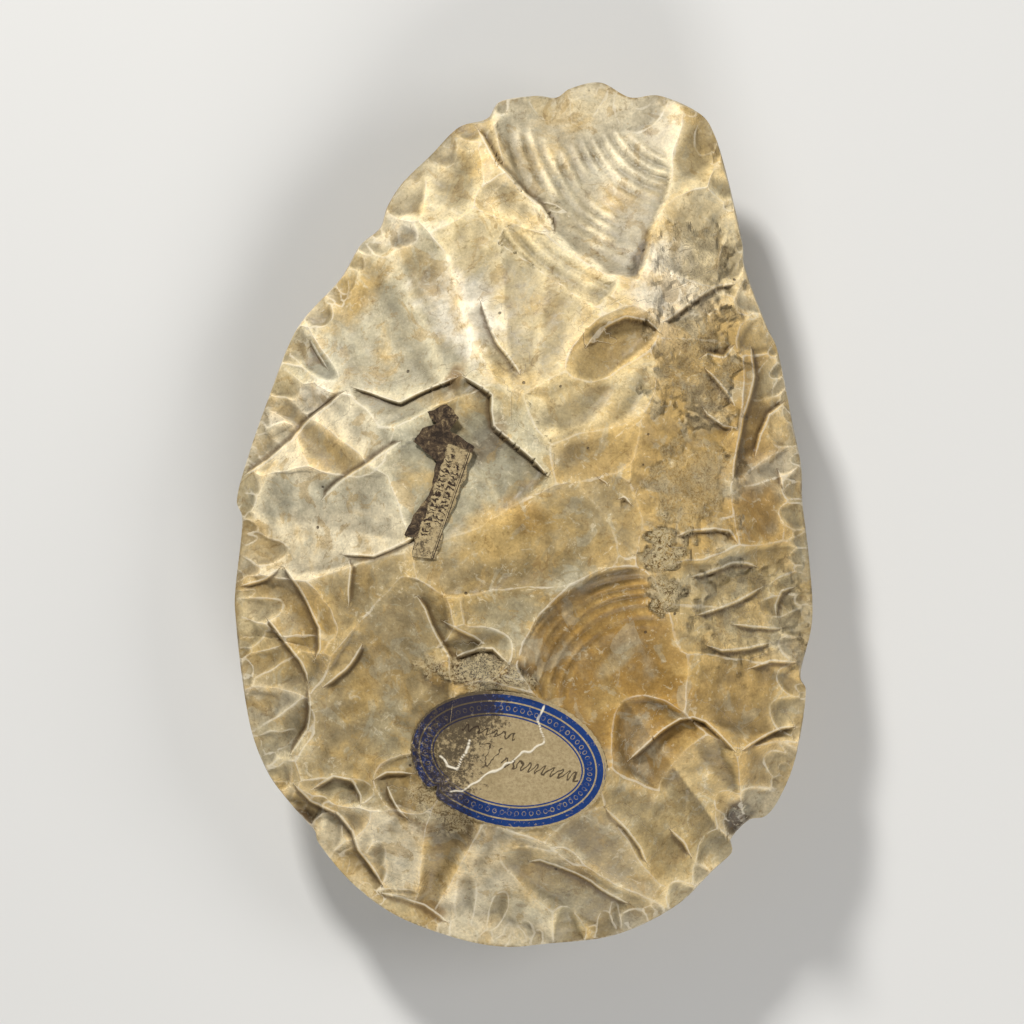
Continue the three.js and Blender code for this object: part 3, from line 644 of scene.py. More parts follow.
def from_ridges(heights, x, y, ends):
    """How far each place is from the nearest ridge between two scars, and how keen that ridge is."""
    two_lowest = np.partition(heights, 1, axis=0)[:2]
    gap = two_lowest[1] - two_lowest[0]
    a, b = ends
    slope = np.abs(gap[a] - gap[b]) / np.maximum(np.hypot(x[a] - x[b], y[a] - y[b]), 0.05)
    steepest = np.zeros_like(gap)
    np.maximum.at(steepest, a, slope)
    np.maximum.at(steepest, b, slope)
    distance = np.minimum(gap / np.maximum(steepest, 0.05), inset_from_edge(x, y))
    return np.clip(distance, 0, FAR), smooth_step(evened(steepest, ends, 3), 0.15, 0.7)


def face_heights(layers, x, y):
    """Each layer's height at each place, with the places bent a little."""
    bent_x, bent_y = waver(x, y)
    return np.array([layer.height(bent_x, bent_y) for layer in layers])


def rippled(layers, heights, x, y, ridge):
    """The ripples of whichever scar each place is in, dying out at the scar's own edge."""
    owner = heights.argmin(0)
    waves, swing = np.zeros((2, len(x)))
    for index, layer in enumerate(layers):
        own = owner == index
        if layer.ripples and own.any():
            waves[own], swing[own] = ripple_waves(x[own], y[own], *layer.ripples)
    return waves, swing * smooth_step(ridge, 0.3, 1.5)


def held_at_edge(height, x, y):
    inset = np.maximum(inset_from_edge(x, y), 0)
    return np.clip(height, THINNEST_EDGE * inset, FULLEST_EDGE * inset**0.75)


def drawn_onto_ridges(x, y, heights, ends, fixed):
    """Moves each vertex beside a ridge onto it, along the sheet's own edges."""
    owner = heights.argmin(0)
    a, b = ends
    crossing = owner[a] != owner[b]
    a, b = a[crossing], b[crossing]
    before = heights[owner[b], a] - heights[owner[a], a]
    after = heights[owner[a], b] - heights[owner[b], b]
    part = before / np.maximum(before + after, TINY)
    near, far = np.where(part < 0.5, a, b), np.where(part < 0.5, b, a)
    share = np.where(part < 0.5, part, 1 - part)
    order = np.argsort(-share)
    near, far, share = near[order], far[order], share[order]
    moved_x, moved_y = x.copy(), y.copy()
    free = ~fixed[near]
    near, far, share = near[free], far[free], share[free]
    moved_x[near] = x[near] + share * (x[far] - x[near])
    moved_y[near] = y[near] + share * (y[far] - y[near])
    return moved_x, moved_y


def evened(values, ends, rounds):
    """The values averaged with their neighbours', over and over."""
    a, b = ends
    count = np.bincount(a, minlength=len(values)) + np.bincount(b, minlength=len(values))
    for _ in range(rounds):
        total = np.bincount(a, values[b], len(values)) + np.bincount(b, values[a], len(values))
        values = 0.5 * values + 0.5 * total / np.maximum(count, 1)
    return values


def as_light(colour):
    """A screen colour as the linear light that a shader takes."""
    share = np.array(colour, float) / 255
    return np.where(share <= 0.04045, share / 12.92, ((share + 0.055) / 1.055) ** 2.4)


def patina_over(layers, heights, x, y, ends, stains):
    """The colour of each place: its own scar's, softly joined at the ridges, under its stains."""
    above = heights - heights.min(0)
    weights = np.exp(-above / TINT_JOIN)
    weights /= weights.sum(0)
    colours = weights.T @ np.array([as_light(PATINA[layer.tint]) for layer in layers])
    blended = np.column_stack([evened(channel, ends, 150) for channel in colours.T])
    colours = blended + OWN_TINT * (colours - blended)
    ragged = 0.3 * noise_over(x, y, 5, 41.5) + 0.25 * noise_over(x, y, 1.6, 43.5)
    ragged = ragged + 0.2 * noise_over(x, y, 0.8, 45.5)
    for tint, centre_x, centre_y, half_long, half_short, turn, strength in stains:
        share = oval_share(x, y, centre_x, centre_y, half_long, half_short, turn) + ragged
        cover = strength * (1 - smooth_step(share, 0.6, 1.3))[:, None]
        colours = colours + cover * (as_light(PATINA[tint]) - colours)
    return colours


def shaped_face(bm, across, along, side):
    """One face of the stone: a square sheet laid over the plan and raised into its scars."""
    layers = front_layers() if side > 0 else back_layers()
    already, already_edges = len(bm.verts), len(bm.edges)
    bmesh.ops.create_grid(bm, x_segments=across, y_segments=along, size=1)
    if side < 0:
        hem = [edge for edge in list(bm.edges)[already_edges:] if edge.is_boundary]
        bmesh.ops.subdivide_edges(bm, edges=hem, cuts=1)
    sheet, edges = list(bm.verts)[already:], list(bm.edges)[already_edges:]
    number = {vertex: index for index, vertex in enumerate(sheet)}
    ends = np.array([(number[edge.verts[0]], number[edge.verts[1]]) for edge in edges]).T
    fixed = np.array([vertex.is_boundary for vertex in sheet])
    x, y = place_on_plan(*np.array([vertex.co.xy for vertex in sheet]).T)
    x, y = drawn_onto_ridges(x, y, face_heights(layers, x, y), ends, fixed)
    rough, crumbly, lift = np.zeros((3, len(x)))
    step = np.full(len(x), FAR)
    if side > 0:
        x, y = drawn_onto_steps(x, y, fixed)
        rough, crumbly = patches(x, y)
        lift, step = stepped(*waver(x, y, 0))
    heights = face_heights(layers, x, y)
    ridge, keen = from_ridges(heights, x, y, ends)
    waves, swing = rippled(layers, heights, x, y, ridge)
    relief = RIPPLES_CUT * swing * np.sin(2 * np.pi * waves) + grain_heights(x, y, rough) + lift
    rise = held_at_edge(heights.min(0) + relief, x, y)
    rise[fixed] = 0
    z = np.maximum(edge_height(x, y) + side * rise, 0)
    # How far each place stands above or below its neighbours, broadly and finely; used only as painted
    # shade in the hollows and painted highlight on the swells.
    bulge, swelling = (rise - evened(rise, ends, rounds) for rounds in (8, 80))
    colours = patina_over(layers, heights, x, y, ends, STAINS if side > 0 else [])
    patina, masks = vertex_layers(bm)
    shading = (smooth_step(bulge, -0.3, 0.3), smooth_step(swelling, -0.5, 0.5))
    values = np.column_stack([ridge, keen, step, waves, swing, *shading, rough, crumbly])
    for index, vertex in enumerate(sheet):
        vertex.co = on_frame(x[index], y[index], z[index])
        vertex[patina] = (*colours[index], 1)
        for mask, value in zip(masks, values[index]):
            vertex[mask] = value


def vertex_layers(bm):
    """The stone's vertex attributes: its patina, how near a ridge or step it is, and its relief."""
    patina = bm.verts.layers.float_color.get("patina") or bm.verts.layers.float_color.new("patina")
    masks = [
        bm.verts.layers.float.get(name) or bm.verts.layers.float.new(name)
        for name in ("ridge", "keen", "step", "waves", "swing", "bulge", "swelling", "torn", "crumb")
    ]
    return patina, masks


def on_frame(x, y, z):
    return (PLAN_CENTRE.x + MM * x, PLAN_CENTRE.y + MM * y, TABLE + MM * z)


def finished(bm, name, material):
    """A mesh object from the bmesh, smooth but for the edges marked sharp, in one material."""
    mesh = bpy.data.meshes.new(name)
    for face in bm.faces:
        face.smooth = True
    bm.to_mesh(mesh)
    bm.free()
    mesh.materials.append(material)
    piece = bpy.data.objects.new(name, mesh)
    bpy.context.scene.collection.objects.link(piece)
    return piece


def flint_axe(material):
    bm = bmesh.new()
    vertex_layers(bm)
    shaped_face(bm, FRONT_ACROSS, FRONT_ALONG, 1)
    front_faces = set(bm.faces)
    shaped_face(bm, BACK_ACROSS, BACK_ALONG, -1)
    bmesh.ops.reverse_faces(bm, faces=[face for face in bm.faces if face not in front_faces])
    rim = [vertex for vertex in bm.verts if vertex.is_boundary]
    bmesh.ops.remove_doubles(bm, verts=rim, dist=MERGE * MM)
    bmesh.ops.recalc_face_normals(bm, faces=bm.faces)
    bmesh.ops.triangulate(bm, faces=bm.faces, quad_method="SHORT_EDGE")
    for edge in bm.edges:
        sides = [face.normal.z for face in edge.link_faces]
        edge.smooth = min(sides) * max(sides) > 0 and edge.calc_face_angle(0) < KEENEST_FOLD
    return finished(bm, "flint_axe", material)


# ---- Shader helpers ---------------------------------------------------------------------------


def give(tree, socket, value):
    """Links a socket to another one, or sets it to a plain value."""
    if isinstance(value, bpy.types.NodeSocket):
        tree.links.new(value, socket)
    else:
        socket.default_value = value


def add_node(tree, kind, inputs=None, **settings):
    """A node with its settings made and its inputs given as values or linked from sockets."""
    made = tree.nodes.new(kind)
    for key, value in settings.items():
        setattr(made, key, value)
    for key, value in (inputs or {}).items():
        give(tree, made.inputs[key], value)
    return made


def sums(tree, operation, *values, clamp=False):
    """A Math node's result."""
    inputs = dict(enumerate(values))
    return add_node(tree, "ShaderNodeMath", inputs, operation=operation, use_clamp=clamp).outputs[0]


def folded(tree, operation, first, *others):
    """A Math node's result with each of the other values in turn."""
    for value in others:
        first = sums(tree, operation, first, value)
    return first


def plus(tree, *values):
    return folded(tree, "ADD", *values)


def minus(tree, *values):
    return folded(tree, "SUBTRACT", *values)


def times(tree, *values):
    return folded(tree, "MULTIPLY", *values)


def highest(tree, *values):
    return folded(tree, "MAXIMUM", *values)


def between(tree, value, start, end, low=0.0, high=1.0):
    """A smooth step of the value from start to end, put out from low to high."""
    inputs = {"Value": value, "From Min": start, "From Max": end, "To Min": low, "To Max": high}
    made = add_node(tree, "ShaderNodeMapRange", inputs, interpolation_type="SMOOTHSTEP")
    return made.outputs[0]


def window(tree, value, start, end, soft=0.04):
    """1 between start and end, 0 outside."""
    entering = between(tree, value, start - soft, start + soft)
    leaving = between(tree, value, end + soft, end - soft)
    return times(tree, entering, leaving)


def colour_mix(tree, share, below, above, blend="MIX"):
    """One colour laid over another by a share from 0 to 1."""
    made = add_node(tree, "ShaderNodeMix", data_type="RGBA", blend_type=blend)
    for key, value in {0: share, 6: below, 7: above}.items():
        give(tree, made.inputs[key], value)
    return made.outputs[2]


def shaded(tree, colour, share):
    """A colour made darker or lighter by a share."""
    grey = add_node(tree, "ShaderNodeCombineColor", {0: share, 1: share, 2: share}).outputs[0]
    return colour_mix(tree, 1.0, colour, grey, "MULTIPLY")


def screen(colour):
    return (*as_light(colour), 1)


def paint(name):
    return screen(PATINA[name])


def tinted(tree, colour, share, name):
    """A colour with one of the patina's laid over it."""
    return colour_mix(tree, share, colour, paint(name))


def noise_texture(tree, vector, size, detail=3, roughness=0.55, distortion=0.0):
    """Noise whose lumps are about `size` millimetres across."""
    inputs = {
        "Vector": vector, "Scale": 1 / (size * MM), "Detail": detail,
        "Roughness": roughness, "Distortion": distortion,
    }
    return add_node(tree, "ShaderNodeTexNoise", inputs).outputs["Fac"]


def attribute(tree, name, output="Fac"):
    return add_node(tree, "ShaderNodeAttribute", attribute_name=name).outputs[output]


def new_group(name, inputs, outputs):
    """A node group with its sockets, and its inner input and output nodes."""
    group = bpy.data.node_groups.new(name, "ShaderNodeTree")
    for socket, kind in inputs.items():
        group.interface.new_socket(socket, in_out="INPUT", socket_type=kind)
    for socket, kind in outputs.items():
        group.interface.new_socket(socket, in_out="OUTPUT", socket_type=kind)
    return group, group.nodes.new("NodeGroupInput").outputs, group.nodes.new("NodeGroupOutput").inputs


def specks_group():
    """Scattered specks, each in its own cell and most cells empty."""
    group, given, put_out = new_group(
        "specks",
        {"Vector": "NodeSocketVector", "Scale": "NodeSocketFloat", "Size": "NodeSocketFloat",
         "Share": "NodeSocketFloat"},
        {"Mask": "NodeSocketFloat"},
    )
    inputs = {"Vector": given["Vector"], "Scale": given["Scale"]}
    cells = add_node(group, "ShaderNodeTexVoronoi", inputs)
    chance = add_node(group, "ShaderNodeSeparateColor", {0: cells.outputs["Color"]}).outputs[0]
    filled = sums(group, "LESS_THAN", chance, given["Share"])
    inner = times(group, given["Size"], 0.5)
    round_speck = between(group, cells.outputs["Distance"], given["Size"], inner)
    group.links.new(times(group, filled, round_speck), put_out["Mask"])
    return group


def use_group(tree, group, inputs):
    """A node group placed in a material, its inputs given as values or linked."""
    placed = tree.nodes.new("ShaderNodeGroup")
    placed.node_tree = group
    for key, value in inputs.items():
        give(tree, placed.inputs[key], value)
    return placed.outputs


def specks(tree, group, vector, cell, size, share):
    """The specks group placed in a material: cells of `cell` millimetres, specks a share of that."""
    inputs = {"Vector": vector, "Scale": 1 / (cell * MM), "Size": size, "Share": share}
    return use_group(tree, group, inputs)["Mask"]


def new_material(name):
    material = bpy.data.materials.new(name)
    material.use_nodes = True
    tree = material.node_tree
    return material, tree, tree.nodes["Principled BSDF"]


def dressed(tree, shader, colour, roughness, shine, height, depth):
    """Gives a finish its colour, roughness and shine, and a bump of its height times the depth."""
    bump = add_node(tree, "ShaderNodeBump", {"Strength": 1.0, "Distance": depth * MM, "Height": height})
    give(tree, shader.inputs["Base Color"], colour)
    give(tree, shader.inputs["Roughness"], roughness)
    give(tree, shader.inputs["Specular IOR Level"], shine)
    give(tree, shader.inputs["Normal"], bump.outputs["Normal"])


# ---- The finishes -----------------------------------------------------------------------------


def flint_material(specks_nodes):
    """Patinated flint: cloudy honey, cream and grey, pale along its ridges, painted shade in its
    hollows and at its step feet, painted highlight on its swells.
    """
    material, tree, shader = new_material("patinated_flint")
    place = add_node(tree, "ShaderNodeTexCoord").outputs["Object"]
    colour = attribute(tree, "patina", "Color")
    torn, crumb = attribute(tree, "torn"), attribute(tree, "crumb")

    clouds = noise_texture(tree, place, 9, 5, 0.6, 0.4)
    veils = noise_texture(tree, place, 2.6, 6, 0.65, 0.3)
    blots = noise_texture(tree, place, 5, 5, 0.6, 0.8)
    flecks = noise_texture(tree, place, 1.7, 5, 0.7, 1.2)
    grains = noise_texture(tree, place, 0.45, 2, 0.65)
    for lumps, start, end, strength, name in (
        (clouds, 0.52, 0.7, 0.35, "mist"), (clouds, 0.5, 0.3, 0.7, "ochre"),
        (blots, 0.56, 0.6, 0.45, "honey"), (blots, 0.43, 0.39, 0.3, "mist"),
        (flecks, 0.58, 0.62, 0.35, "hazel"), (flecks, 0.41, 0.37, 0.4, "bone"),
    ):
        colour = tinted(tree, colour, between(tree, lumps, start, end, 0, strength), name)
    colour = shaded(tree, colour, between(tree, veils, 0.3, 0.7, 0.8, 1.18))
    colour = shaded(tree, colour, between(tree, grains, 0.3, 0.7, 0.88, 1.1))
    threads = noise_texture(tree, place, 12, 4, 0.6, 1.0)
    vein = sums(tree, "ABSOLUTE", minus(tree, threads, 0.5))
    vein = times(tree, between(tree, vein, 0.006, 0.001), between(tree, blots, 0.5, 0.6, 0, 0.5))
    colour = tinted(tree, colour, vein, "hazel")

    # Painted shade and painted highlight: the colour is darkened in the hollows and lightened on the
    # swells of the relief, broadly and then finely.
    colour = shaded(tree, colour, between(tree, attribute(tree, "swelling"), 0.0, 1.0, 0.72, 1.25))
    colour = shaded(tree, colour, between(tree, attribute(tree, "bulge"), 0.0, 1.0, 0.8, 1.18))
    wander = times(tree, minus(tree, veils, 0.5), 0.8)
    off_ridge = plus(tree, attribute(tree, "ridge"), wander)
    beside = between(tree, off_ridge, 0.22, 0.05)
    patchy = between(tree, clouds, 0.35, 0.6, 0.08, 0.5)
    worn = times(tree, beside, attribute(tree, "keen"), patchy)
    colour = tinted(tree, colour, worn, "ivory")
    step = plus(tree, attribute(tree, "step"), times(tree, wander, 0.5))
    lip = between(tree, sums(tree, "ABSOLUTE", plus(tree, step, 0.1)), 0.22, 0.06, 0, 0.5)
    colour = tinted(tree, colour, lip, "ivory")
    # Painted shade: a dark umber band along the foot of each step, below its wall.
    foot = times(tree, between(tree, step, 0.1, 0.4), between(tree, step, 1.3, 0.6, 0, 0.6))
    colour = tinted(tree, colour, foot, "umber")

    layered = noise_texture(tree, place, 3.2, 4, 0.6, 0.6)
    levels = times(tree, layered, 16.0)
    edge = between(tree, sums(tree, "FRACT", levels), 0.72, 1.0)
    terraces = plus(tree, sums(tree, "FLOOR", levels), edge)
    cracked = times(tree, window(tree, edge, 0.02, 0.5, 0.02), times(tree, torn, 0.5))
    colour = tinted(tree, colour, cracked, "umber")
    crumbs = noise_texture(tree, place, 0.7, 3, 0.8, 1.5)
    for start, end, name in ((0.46, 0.52, "cream"), (0.42, 0.37, "umber")):
        colour = tinted(tree, colour, times(tree, crumb, between(tree, crumbs, start, end)), name)
    pinholes = specks(tree, specks_nodes, place, 5, 0.07, 0.25)
    colour = tinted(tree, colour, times(tree, pinholes, 0.8), "soil")
    rust = specks(tree, specks_nodes, place, 1.6, 0.16, between(tree, clouds, 0.4, 0.65, 0, 0.3))
    colour = tinted(tree, colour, times(tree, rust, 0.35), "amber")
    roughness = between(tree, veils, 0.2, 0.8, 0.4, 0.58)
    roughness = sums(tree, "ADD", roughness, times(tree, crumb, 0.3), clamp=True)

    small = noise_texture(tree, place, 1.2, 3, 0.6)
    height = minus(tree, times(tree, small, 0.08), times(tree, pinholes, 0.15))
    turn = times(tree, attribute(tree, "waves"), 2 * math.pi)
    sharper = times(tree, sums(tree, "SINE", times(tree, turn, 2.0)), 0.25)
    wave = plus(tree, sums(tree, "SINE", turn), sharper)
    wave = times(tree, wave, 1 - RIPPLES_CUT, attribute(tree, "swing"))
    plates, crumbling = times(tree, terraces, torn, 0.18), times(tree, crumbs, crumb, 0.5)
    dressed(tree, shader, colour, roughness, 0.4, plus(tree, height, wave, plates, crumbling), 1)
    return material


# ---- The labels -------------------------------------------------------------------------------

INK_BLUE = (14, 54, 118)
INK_BROWN = (52, 38, 28)
PAPER_TAN = (156, 137, 101)
PAPER_PALE = (192, 174, 136)
RESIDUE = (92, 76, 58)
RESIDUE_DARK = (48, 38, 30)

# The creases and tears of the oval label, along and across it from its middle.
CREASES = [
    [(5.1, 3.8), (-0.1, -0.4), (-6.4, -6.5), (-8.3, -7.2)],
    [(3.7, 10.6), (3.6, 7.7), (4.9, 4.8), (5.1, 3.8)],
    [(-7.3, 2), (-7.4, -0.5), (-8.3, -3.4), (-9.8, -3), (-11.4, -1.6)],
]
FLAP = (-9, -6.2, 2.2, 0.7)

# The printed strip's torn left and right edges, from its foot up: share of the way up, x, y.
STRIP_LEFT = [
    (0, -18.5, -7), (0.13, -18.4, -3.8), (0.16, -20, -3.3), (0.28, -18.5, 0), (0.41, -15.6, 3.1),
    (0.64, -14.6, 9), (0.77, -18.4, 12.1), (0.86, -17, 14.5), (0.89, -14.6, 15), (0.95, -16, 17),
    (1, -12.9, 18.4),
]
STRIP_RIGHT = [
    (0, -14.6, -7.5), (0.22, -13.1, -1.8), (0.46, -10.6, 4.1), (0.76, -8, 11.4), (0.86, -12.1, 14),
    (0.94, -10.7, 16.3), (1, -12.9, 18.4),
]
STRIP_FOOT = (-14.6, -7.5)
STRIP_TURN = 1.235


def stone_top(layers, x, y):
    """The front face's height above the table."""
    rise = held_at_edge(face_heights(layers, x, y).min(0), x, y)
    return edge_height(x, y) + rise


def paper_sheet(columns, rows):
    """A flat sheet with its own UV map, and how far across and up it each vertex lies."""
    bm = bmesh.new()
    for name in ("raised", "crease", "flap"):
        bm.verts.layers.float.new(name)
    layer = bm.loops.layers.uv.new("sheet")
    bmesh.ops.create_grid(bm, x_segments=columns, y_segments=rows, size=1)
    for face in bm.faces:
        for loop in face.loops:
            loop[layer].uv = ((loop.vert.co.x + 1) / 2, (loop.vert.co.y + 1) / 2)
    across, up = (np.array([vertex.co.xy for vertex in bm.verts]).T + 1) / 2
    return bm, across, up


def noted(bm, name, values):
    """Keeps a value at each vertex."""
    layer = bm.verts.layers.float[name]
    for vertex, value in zip(bm.verts, values):
        vertex[layer] = value


def draped(bm, layers, x, y, lift):
    """Lays the sheet on the stone, evened so that it bridges small ridges, and gives it thickness."""
    top = stone_top(layers, x, y) + PAPER_LIFT
    for index, vertex in enumerate(bm.verts):
        vertex.co = on_frame(x[index], y[index], top[index])
    noted(bm, "raised", lift)
    bmesh.ops.remove_doubles(bm, verts=bm.verts, dist=MERGE * MM)
    for _ in range(BRIDGING):
        bmesh.ops.smooth_vert(bm, verts=bm.verts, factor=0.5, use_axis_z=True)
    raised = bm.verts.layers.float["raised"]
    for vertex in bm.verts:
        vertex.co.z += MM * vertex[raised]
    bmesh.ops.recalc_face_normals(bm, faces=bm.faces)
    bmesh.ops.solidify(bm, geom=list(bm.faces), thickness=PAPER_THICKNESS * MM)
    bmesh.ops.recalc_face_normals(bm, faces=bm.faces)


def oval_places(around, inward):
    """The oval label's own plan: rows at even depths inside its rim, then shrinking to its middle."""
    fine = np.linspace(0, 2 * np.pi, 2001)
    steps = np.hypot(OVAL_LONG * np.sin(fine), OVAL_SHORT * np.cos(fine))
    length = np.concatenate([[0], np.cumsum((steps[1:] + steps[:-1]) / 2)])
    angle = np.interp(around, length / length[-1], fine)
    cos, sin = np.cos(angle), np.sin(angle)
    normal = np.hypot(OVAL_SHORT * cos, OVAL_LONG * sin)
    depth = OVAL_BORDER * np.minimum(inward * 2, 1)
    shrink = 1 - np.clip(inward * 2 - 1, 0, 1)
    tear = 1.6 * np.exp(-(((around - 0.61) / 0.007) ** 2)) * np.exp(-depth / 2)
    nibble = 0.12 * np.sin(97 * angle) * np.sin(31 * angle) * np.exp(-depth / 0.4)
    depth = depth + tear + nibble
    along = shrink * (OVAL_LONG * cos - depth * OVAL_SHORT * cos / normal)
    across = shrink * (OVAL_SHORT * sin - depth * OVAL_LONG * sin / normal)
    return along, across


def oval_label(material, layers):
    bm, around, inward = paper_sheet(256, 64)
    along, across = oval_places(around, inward)
    jagged_x = along + 0.5 * noise_over(along, across, 1.6, 71.5)
    jagged_y = across + 0.5 * noise_over(along, across, 1.6, 73.5)
    off = np.min([np.abs(beside_step(line, jagged_x, jagged_y)[0]) for line in CREASES], axis=0)
    crease = np.exp(-off / 0.2)
    flap_x, flap_y, flap_size, flap_lift = FLAP
    flap = np.exp(-((along - flap_x) ** 2 + (across - flap_y) ** 2) / flap_size**2)
    noted(bm, "crease", crease)
    noted(bm, "flap", flap)
    cos, sin = math.cos(OVAL_TURN), math.sin(OVAL_TURN)
    x = OVAL_CENTRE[0] + along * cos - across * sin
    y = OVAL_CENTRE[1] + along * sin + across * cos
    crumple = 0.06 * noise_over(x, y, 2.2, 61.5)
    draped(bm, layers, x, y, 0.2 * crease + flap_lift * flap + crumple)
    return finished(bm, "oval_paper_label", material)


def edge_line(points, part):
    shares, x, y = np.array(points).T
    return np.interp(part, shares, x), np.interp(part, shares, y)


def printed_label(material, layers):
    bm, across, up = paper_sheet(32, 140)
    left_x, left_y = edge_line(STRIP_LEFT, up)
    right_x, right_y = edge_line(STRIP_RIGHT, up)
    x = left_x + across * (right_x - left_x)
    y = left_y + across * (right_y - left_y)
    ragged = np.abs(2 * across - 1) ** 4
    x = x + ragged * 0.5 * noise_over(x, y, 1.6, 63.5)
    y = y + ragged * 0.3 * noise_over(x, y, 1.6, 65.5)
    draped(bm, layers, x, y, 0.07 * noise_over(x, y, 1.8, 67.5))
    return finished(bm, "printed_paper_label", material)


# ---- The papers' finishes ---------------------------------------------------------------------


def paper_group():
    """Old paper: fibres, foxing and ground-in dirt, more of it where `Dirt` is higher."""
    group, given, put_out = new_group(
        "old_paper",
        {"Vector": "NodeSocketVector", "Ink": "NodeSocketColor", "Inked": "NodeSocketFloat",
         "Dirt": "NodeSocketFloat"},
        {"Color": "NodeSocketColor", "Height": "NodeSocketFloat"},
    )
    place = given["Vector"]
    fibres = noise_texture(group, place, 0.5, 5, 0.75)
    foxing = noise_texture(group, place, 4, 4, 0.6)
    grime = noise_texture(group, place, 0.8, 8, 0.8)
    colour = colour_mix(group, between(group, fibres, 0.3, 0.7), screen(PAPER_TAN), screen(PAPER_PALE))
    colour = tinted(group, colour, between(group, foxing, 0.45, 0.7, 0, 0.5), "khaki")
    rubbed = between(group, grime, 0.36, 0.42, 0.25, 1)
    inked = times(group, given["Inked"], rubbed)
    colour = colour_mix(group, inked, colour, given["Ink"])
    level = minus(group, 0.72, times(group, given["Dirt"], 0.3))
    above = sums(group, "MULTIPLY", minus(group, grime, level), 12.0, clamp=True)
    colour = colour_mix(group, times(group, above, 0.8), colour, screen(RESIDUE_DARK))
    group.links.new(colour, put_out["Color"])
    height = plus(group, fibres, times(group, grime, 1.2))
    group.links.new(height, put_out["Height"])
    return group


def old_paper(tree, group, place, ink, inked, dirt):
    """The old paper placed in a material: its colour and its height."""
    inputs = {"Vector": place, "Ink": screen(ink), "Inked": inked, "Dirt": dirt}
    placed = use_group(tree, group, inputs)
    return placed["Color"], placed["Height"]


def laid_out(tree, centre, turn):
    """Object coordinates turned into millimetres along and across a label."""
    place = add_node(tree, "ShaderNodeTexCoord").outputs["Object"]
    inputs = {
        "Vector": place, "Location": on_frame(*centre, 0),
        "Rotation": (0, 0, turn), "Scale": (MM, MM, MM),
    }
    turned = add_node(tree, "ShaderNodeMapping", inputs, vector_type="TEXTURE").outputs["Vector"]
    split = add_node(tree, "ShaderNodeSeparateXYZ", {0: turned}).outputs
    return place, split[0], split[1]


def pen_row(tree, place, along, across, start, end, level, height, pitch):
    """A row of slanting pen strokes that spells nothing."""
    wander = noise_texture(tree, place, 2.5, 2)
    slanted = minus(tree, along, times(tree, across, 0.45))
    phase = times(tree, slanted, 2 * math.pi / pitch)
    phase = plus(tree, phase, times(tree, wander, 9.0))
    off = minus(tree, across, level, times(tree, sums(tree, "SINE", phase), height))
    steep = times(tree, sums(tree, "COSINE", phase), height * 2 * math.pi / pitch)
    length = sums(tree, "SQRT", plus(tree, times(tree, steep, steep), 1.0))
    distance = sums(tree, "DIVIDE", sums(tree, "ABSOLUTE", off), length)
    line = between(tree, distance, 0.19, 0.08)
    return times(tree, line, window(tree, along, start, end))


def oval_label_material(paper_nodes):
    """Tan paper with a blue border: a plain band, then a band of beads, between thin lines."""
    material, tree, shader = new_material("blue_bordered_paper")
    place, along, across = laid_out(tree, OVAL_CENTRE, OVAL_TURN)
    sheet = add_node(tree, "ShaderNodeUVMap", uv_map="sheet").outputs["UV"]
    around = add_node(tree, "ShaderNodeSeparateXYZ", {0: sheet}).outputs
    turn = times(tree, minus(tree, around[0], 0.1), 2 * math.pi)
    offset = times(tree, sums(tree, "COSINE", turn), 0.22)
    depth = minus(tree, times(tree, around[1], 2.0 * OVAL_BORDER), offset)

    rim = times(tree, window(tree, depth, 0.1, 0.22, 0.03), window(tree, around[0], -0.1, 0.03))
    bands = [window(tree, depth, start, end) for start, end in ((0.45, 1.5), (1.75, 3.6), (3.85, 4.1))]
    inked = highest(tree, rim, *bands)
    beat = sums(tree, "FRACT", times(tree, around[0], 64.0))
    cell = times(tree, minus(tree, beat, 0.5), 1.4)
    off = minus(tree, depth, 2.7)
    squares = plus(tree, times(tree, cell, cell), times(tree, off, off))
    ring = sums(tree, "ABSOLUTE", minus(tree, sums(tree, "SQRT", squares), 0.36))
    worn = noise_texture(tree, place, 1.5, 4, 0.7)
    bead = times(tree, between(tree, ring, 0.1, 0.03), between(tree, worn, 0.4, 0.55, 0.1, 0.8))
    inked = times(tree, inked, minus(tree, 1.0, bead))

    scuffed = noise_texture(tree, place, 0.9, 6, 0.8, 1.0)
    left_end = times(tree, between(tree, along, -8.0, -14.0), between(tree, scuffed, 0.52, 0.58))
    flap = times(tree, attribute(tree, "flap"), between(tree, scuffed, 0.4, 0.5))
    scuffs = highest(tree, left_end, flap)
    inked = times(tree, inked, minus(tree, 1.0, times(tree, scuffs, 0.8)))

    left = between(tree, along, 3.0, -9.0, 0.1, 1.0)
    dirt = plus(tree, left, between(tree, across, 1.0, 6.0, 0, 0.3))
    colour, height = old_paper(tree, paper_nodes, place, INK_BLUE, inked, dirt)
    for row in ((-8.7, 0.3, 4, 0.55, 1.5), (-4.6, -1.4, 0.2, 1.9, 3.6), (-1.2, 12, -0.5, 0.75, 1.35)):
        written = pen_row(tree, place, along, across, *row)
        colour = colour_mix(tree, times(tree, written, 0.85), colour, screen(INK_BROWN))
    crease = attribute(tree, "crease")
    colour = tinted(tree, colour, between(tree, crease, 0.25, 0.7), "ivory")
    dressed(tree, shader, colour, 0.7, 0.25, height, 0.08)
    return material


def print_row(tree, place, along, across, start, end, level):
    """A row of small printed strokes that spells nothing."""
    uneven = noise_texture(tree, place, 1.1, 2)
    beat = plus(tree, times(tree, along, 1.15), times(tree, uneven, 3.0))
    strokes = window(tree, sums(tree, "FRACT", beat), 0.1, 0.48, 0.06)
    height = between(tree, uneven, 0.35, 0.6, 0.45, 0.75)
    off = sums(tree, "ABSOLUTE", minus(tree, across, level))
    row = sums(tree, "LESS_THAN", off, height)
    return times(tree, strokes, row, window(tree, along, start, end))


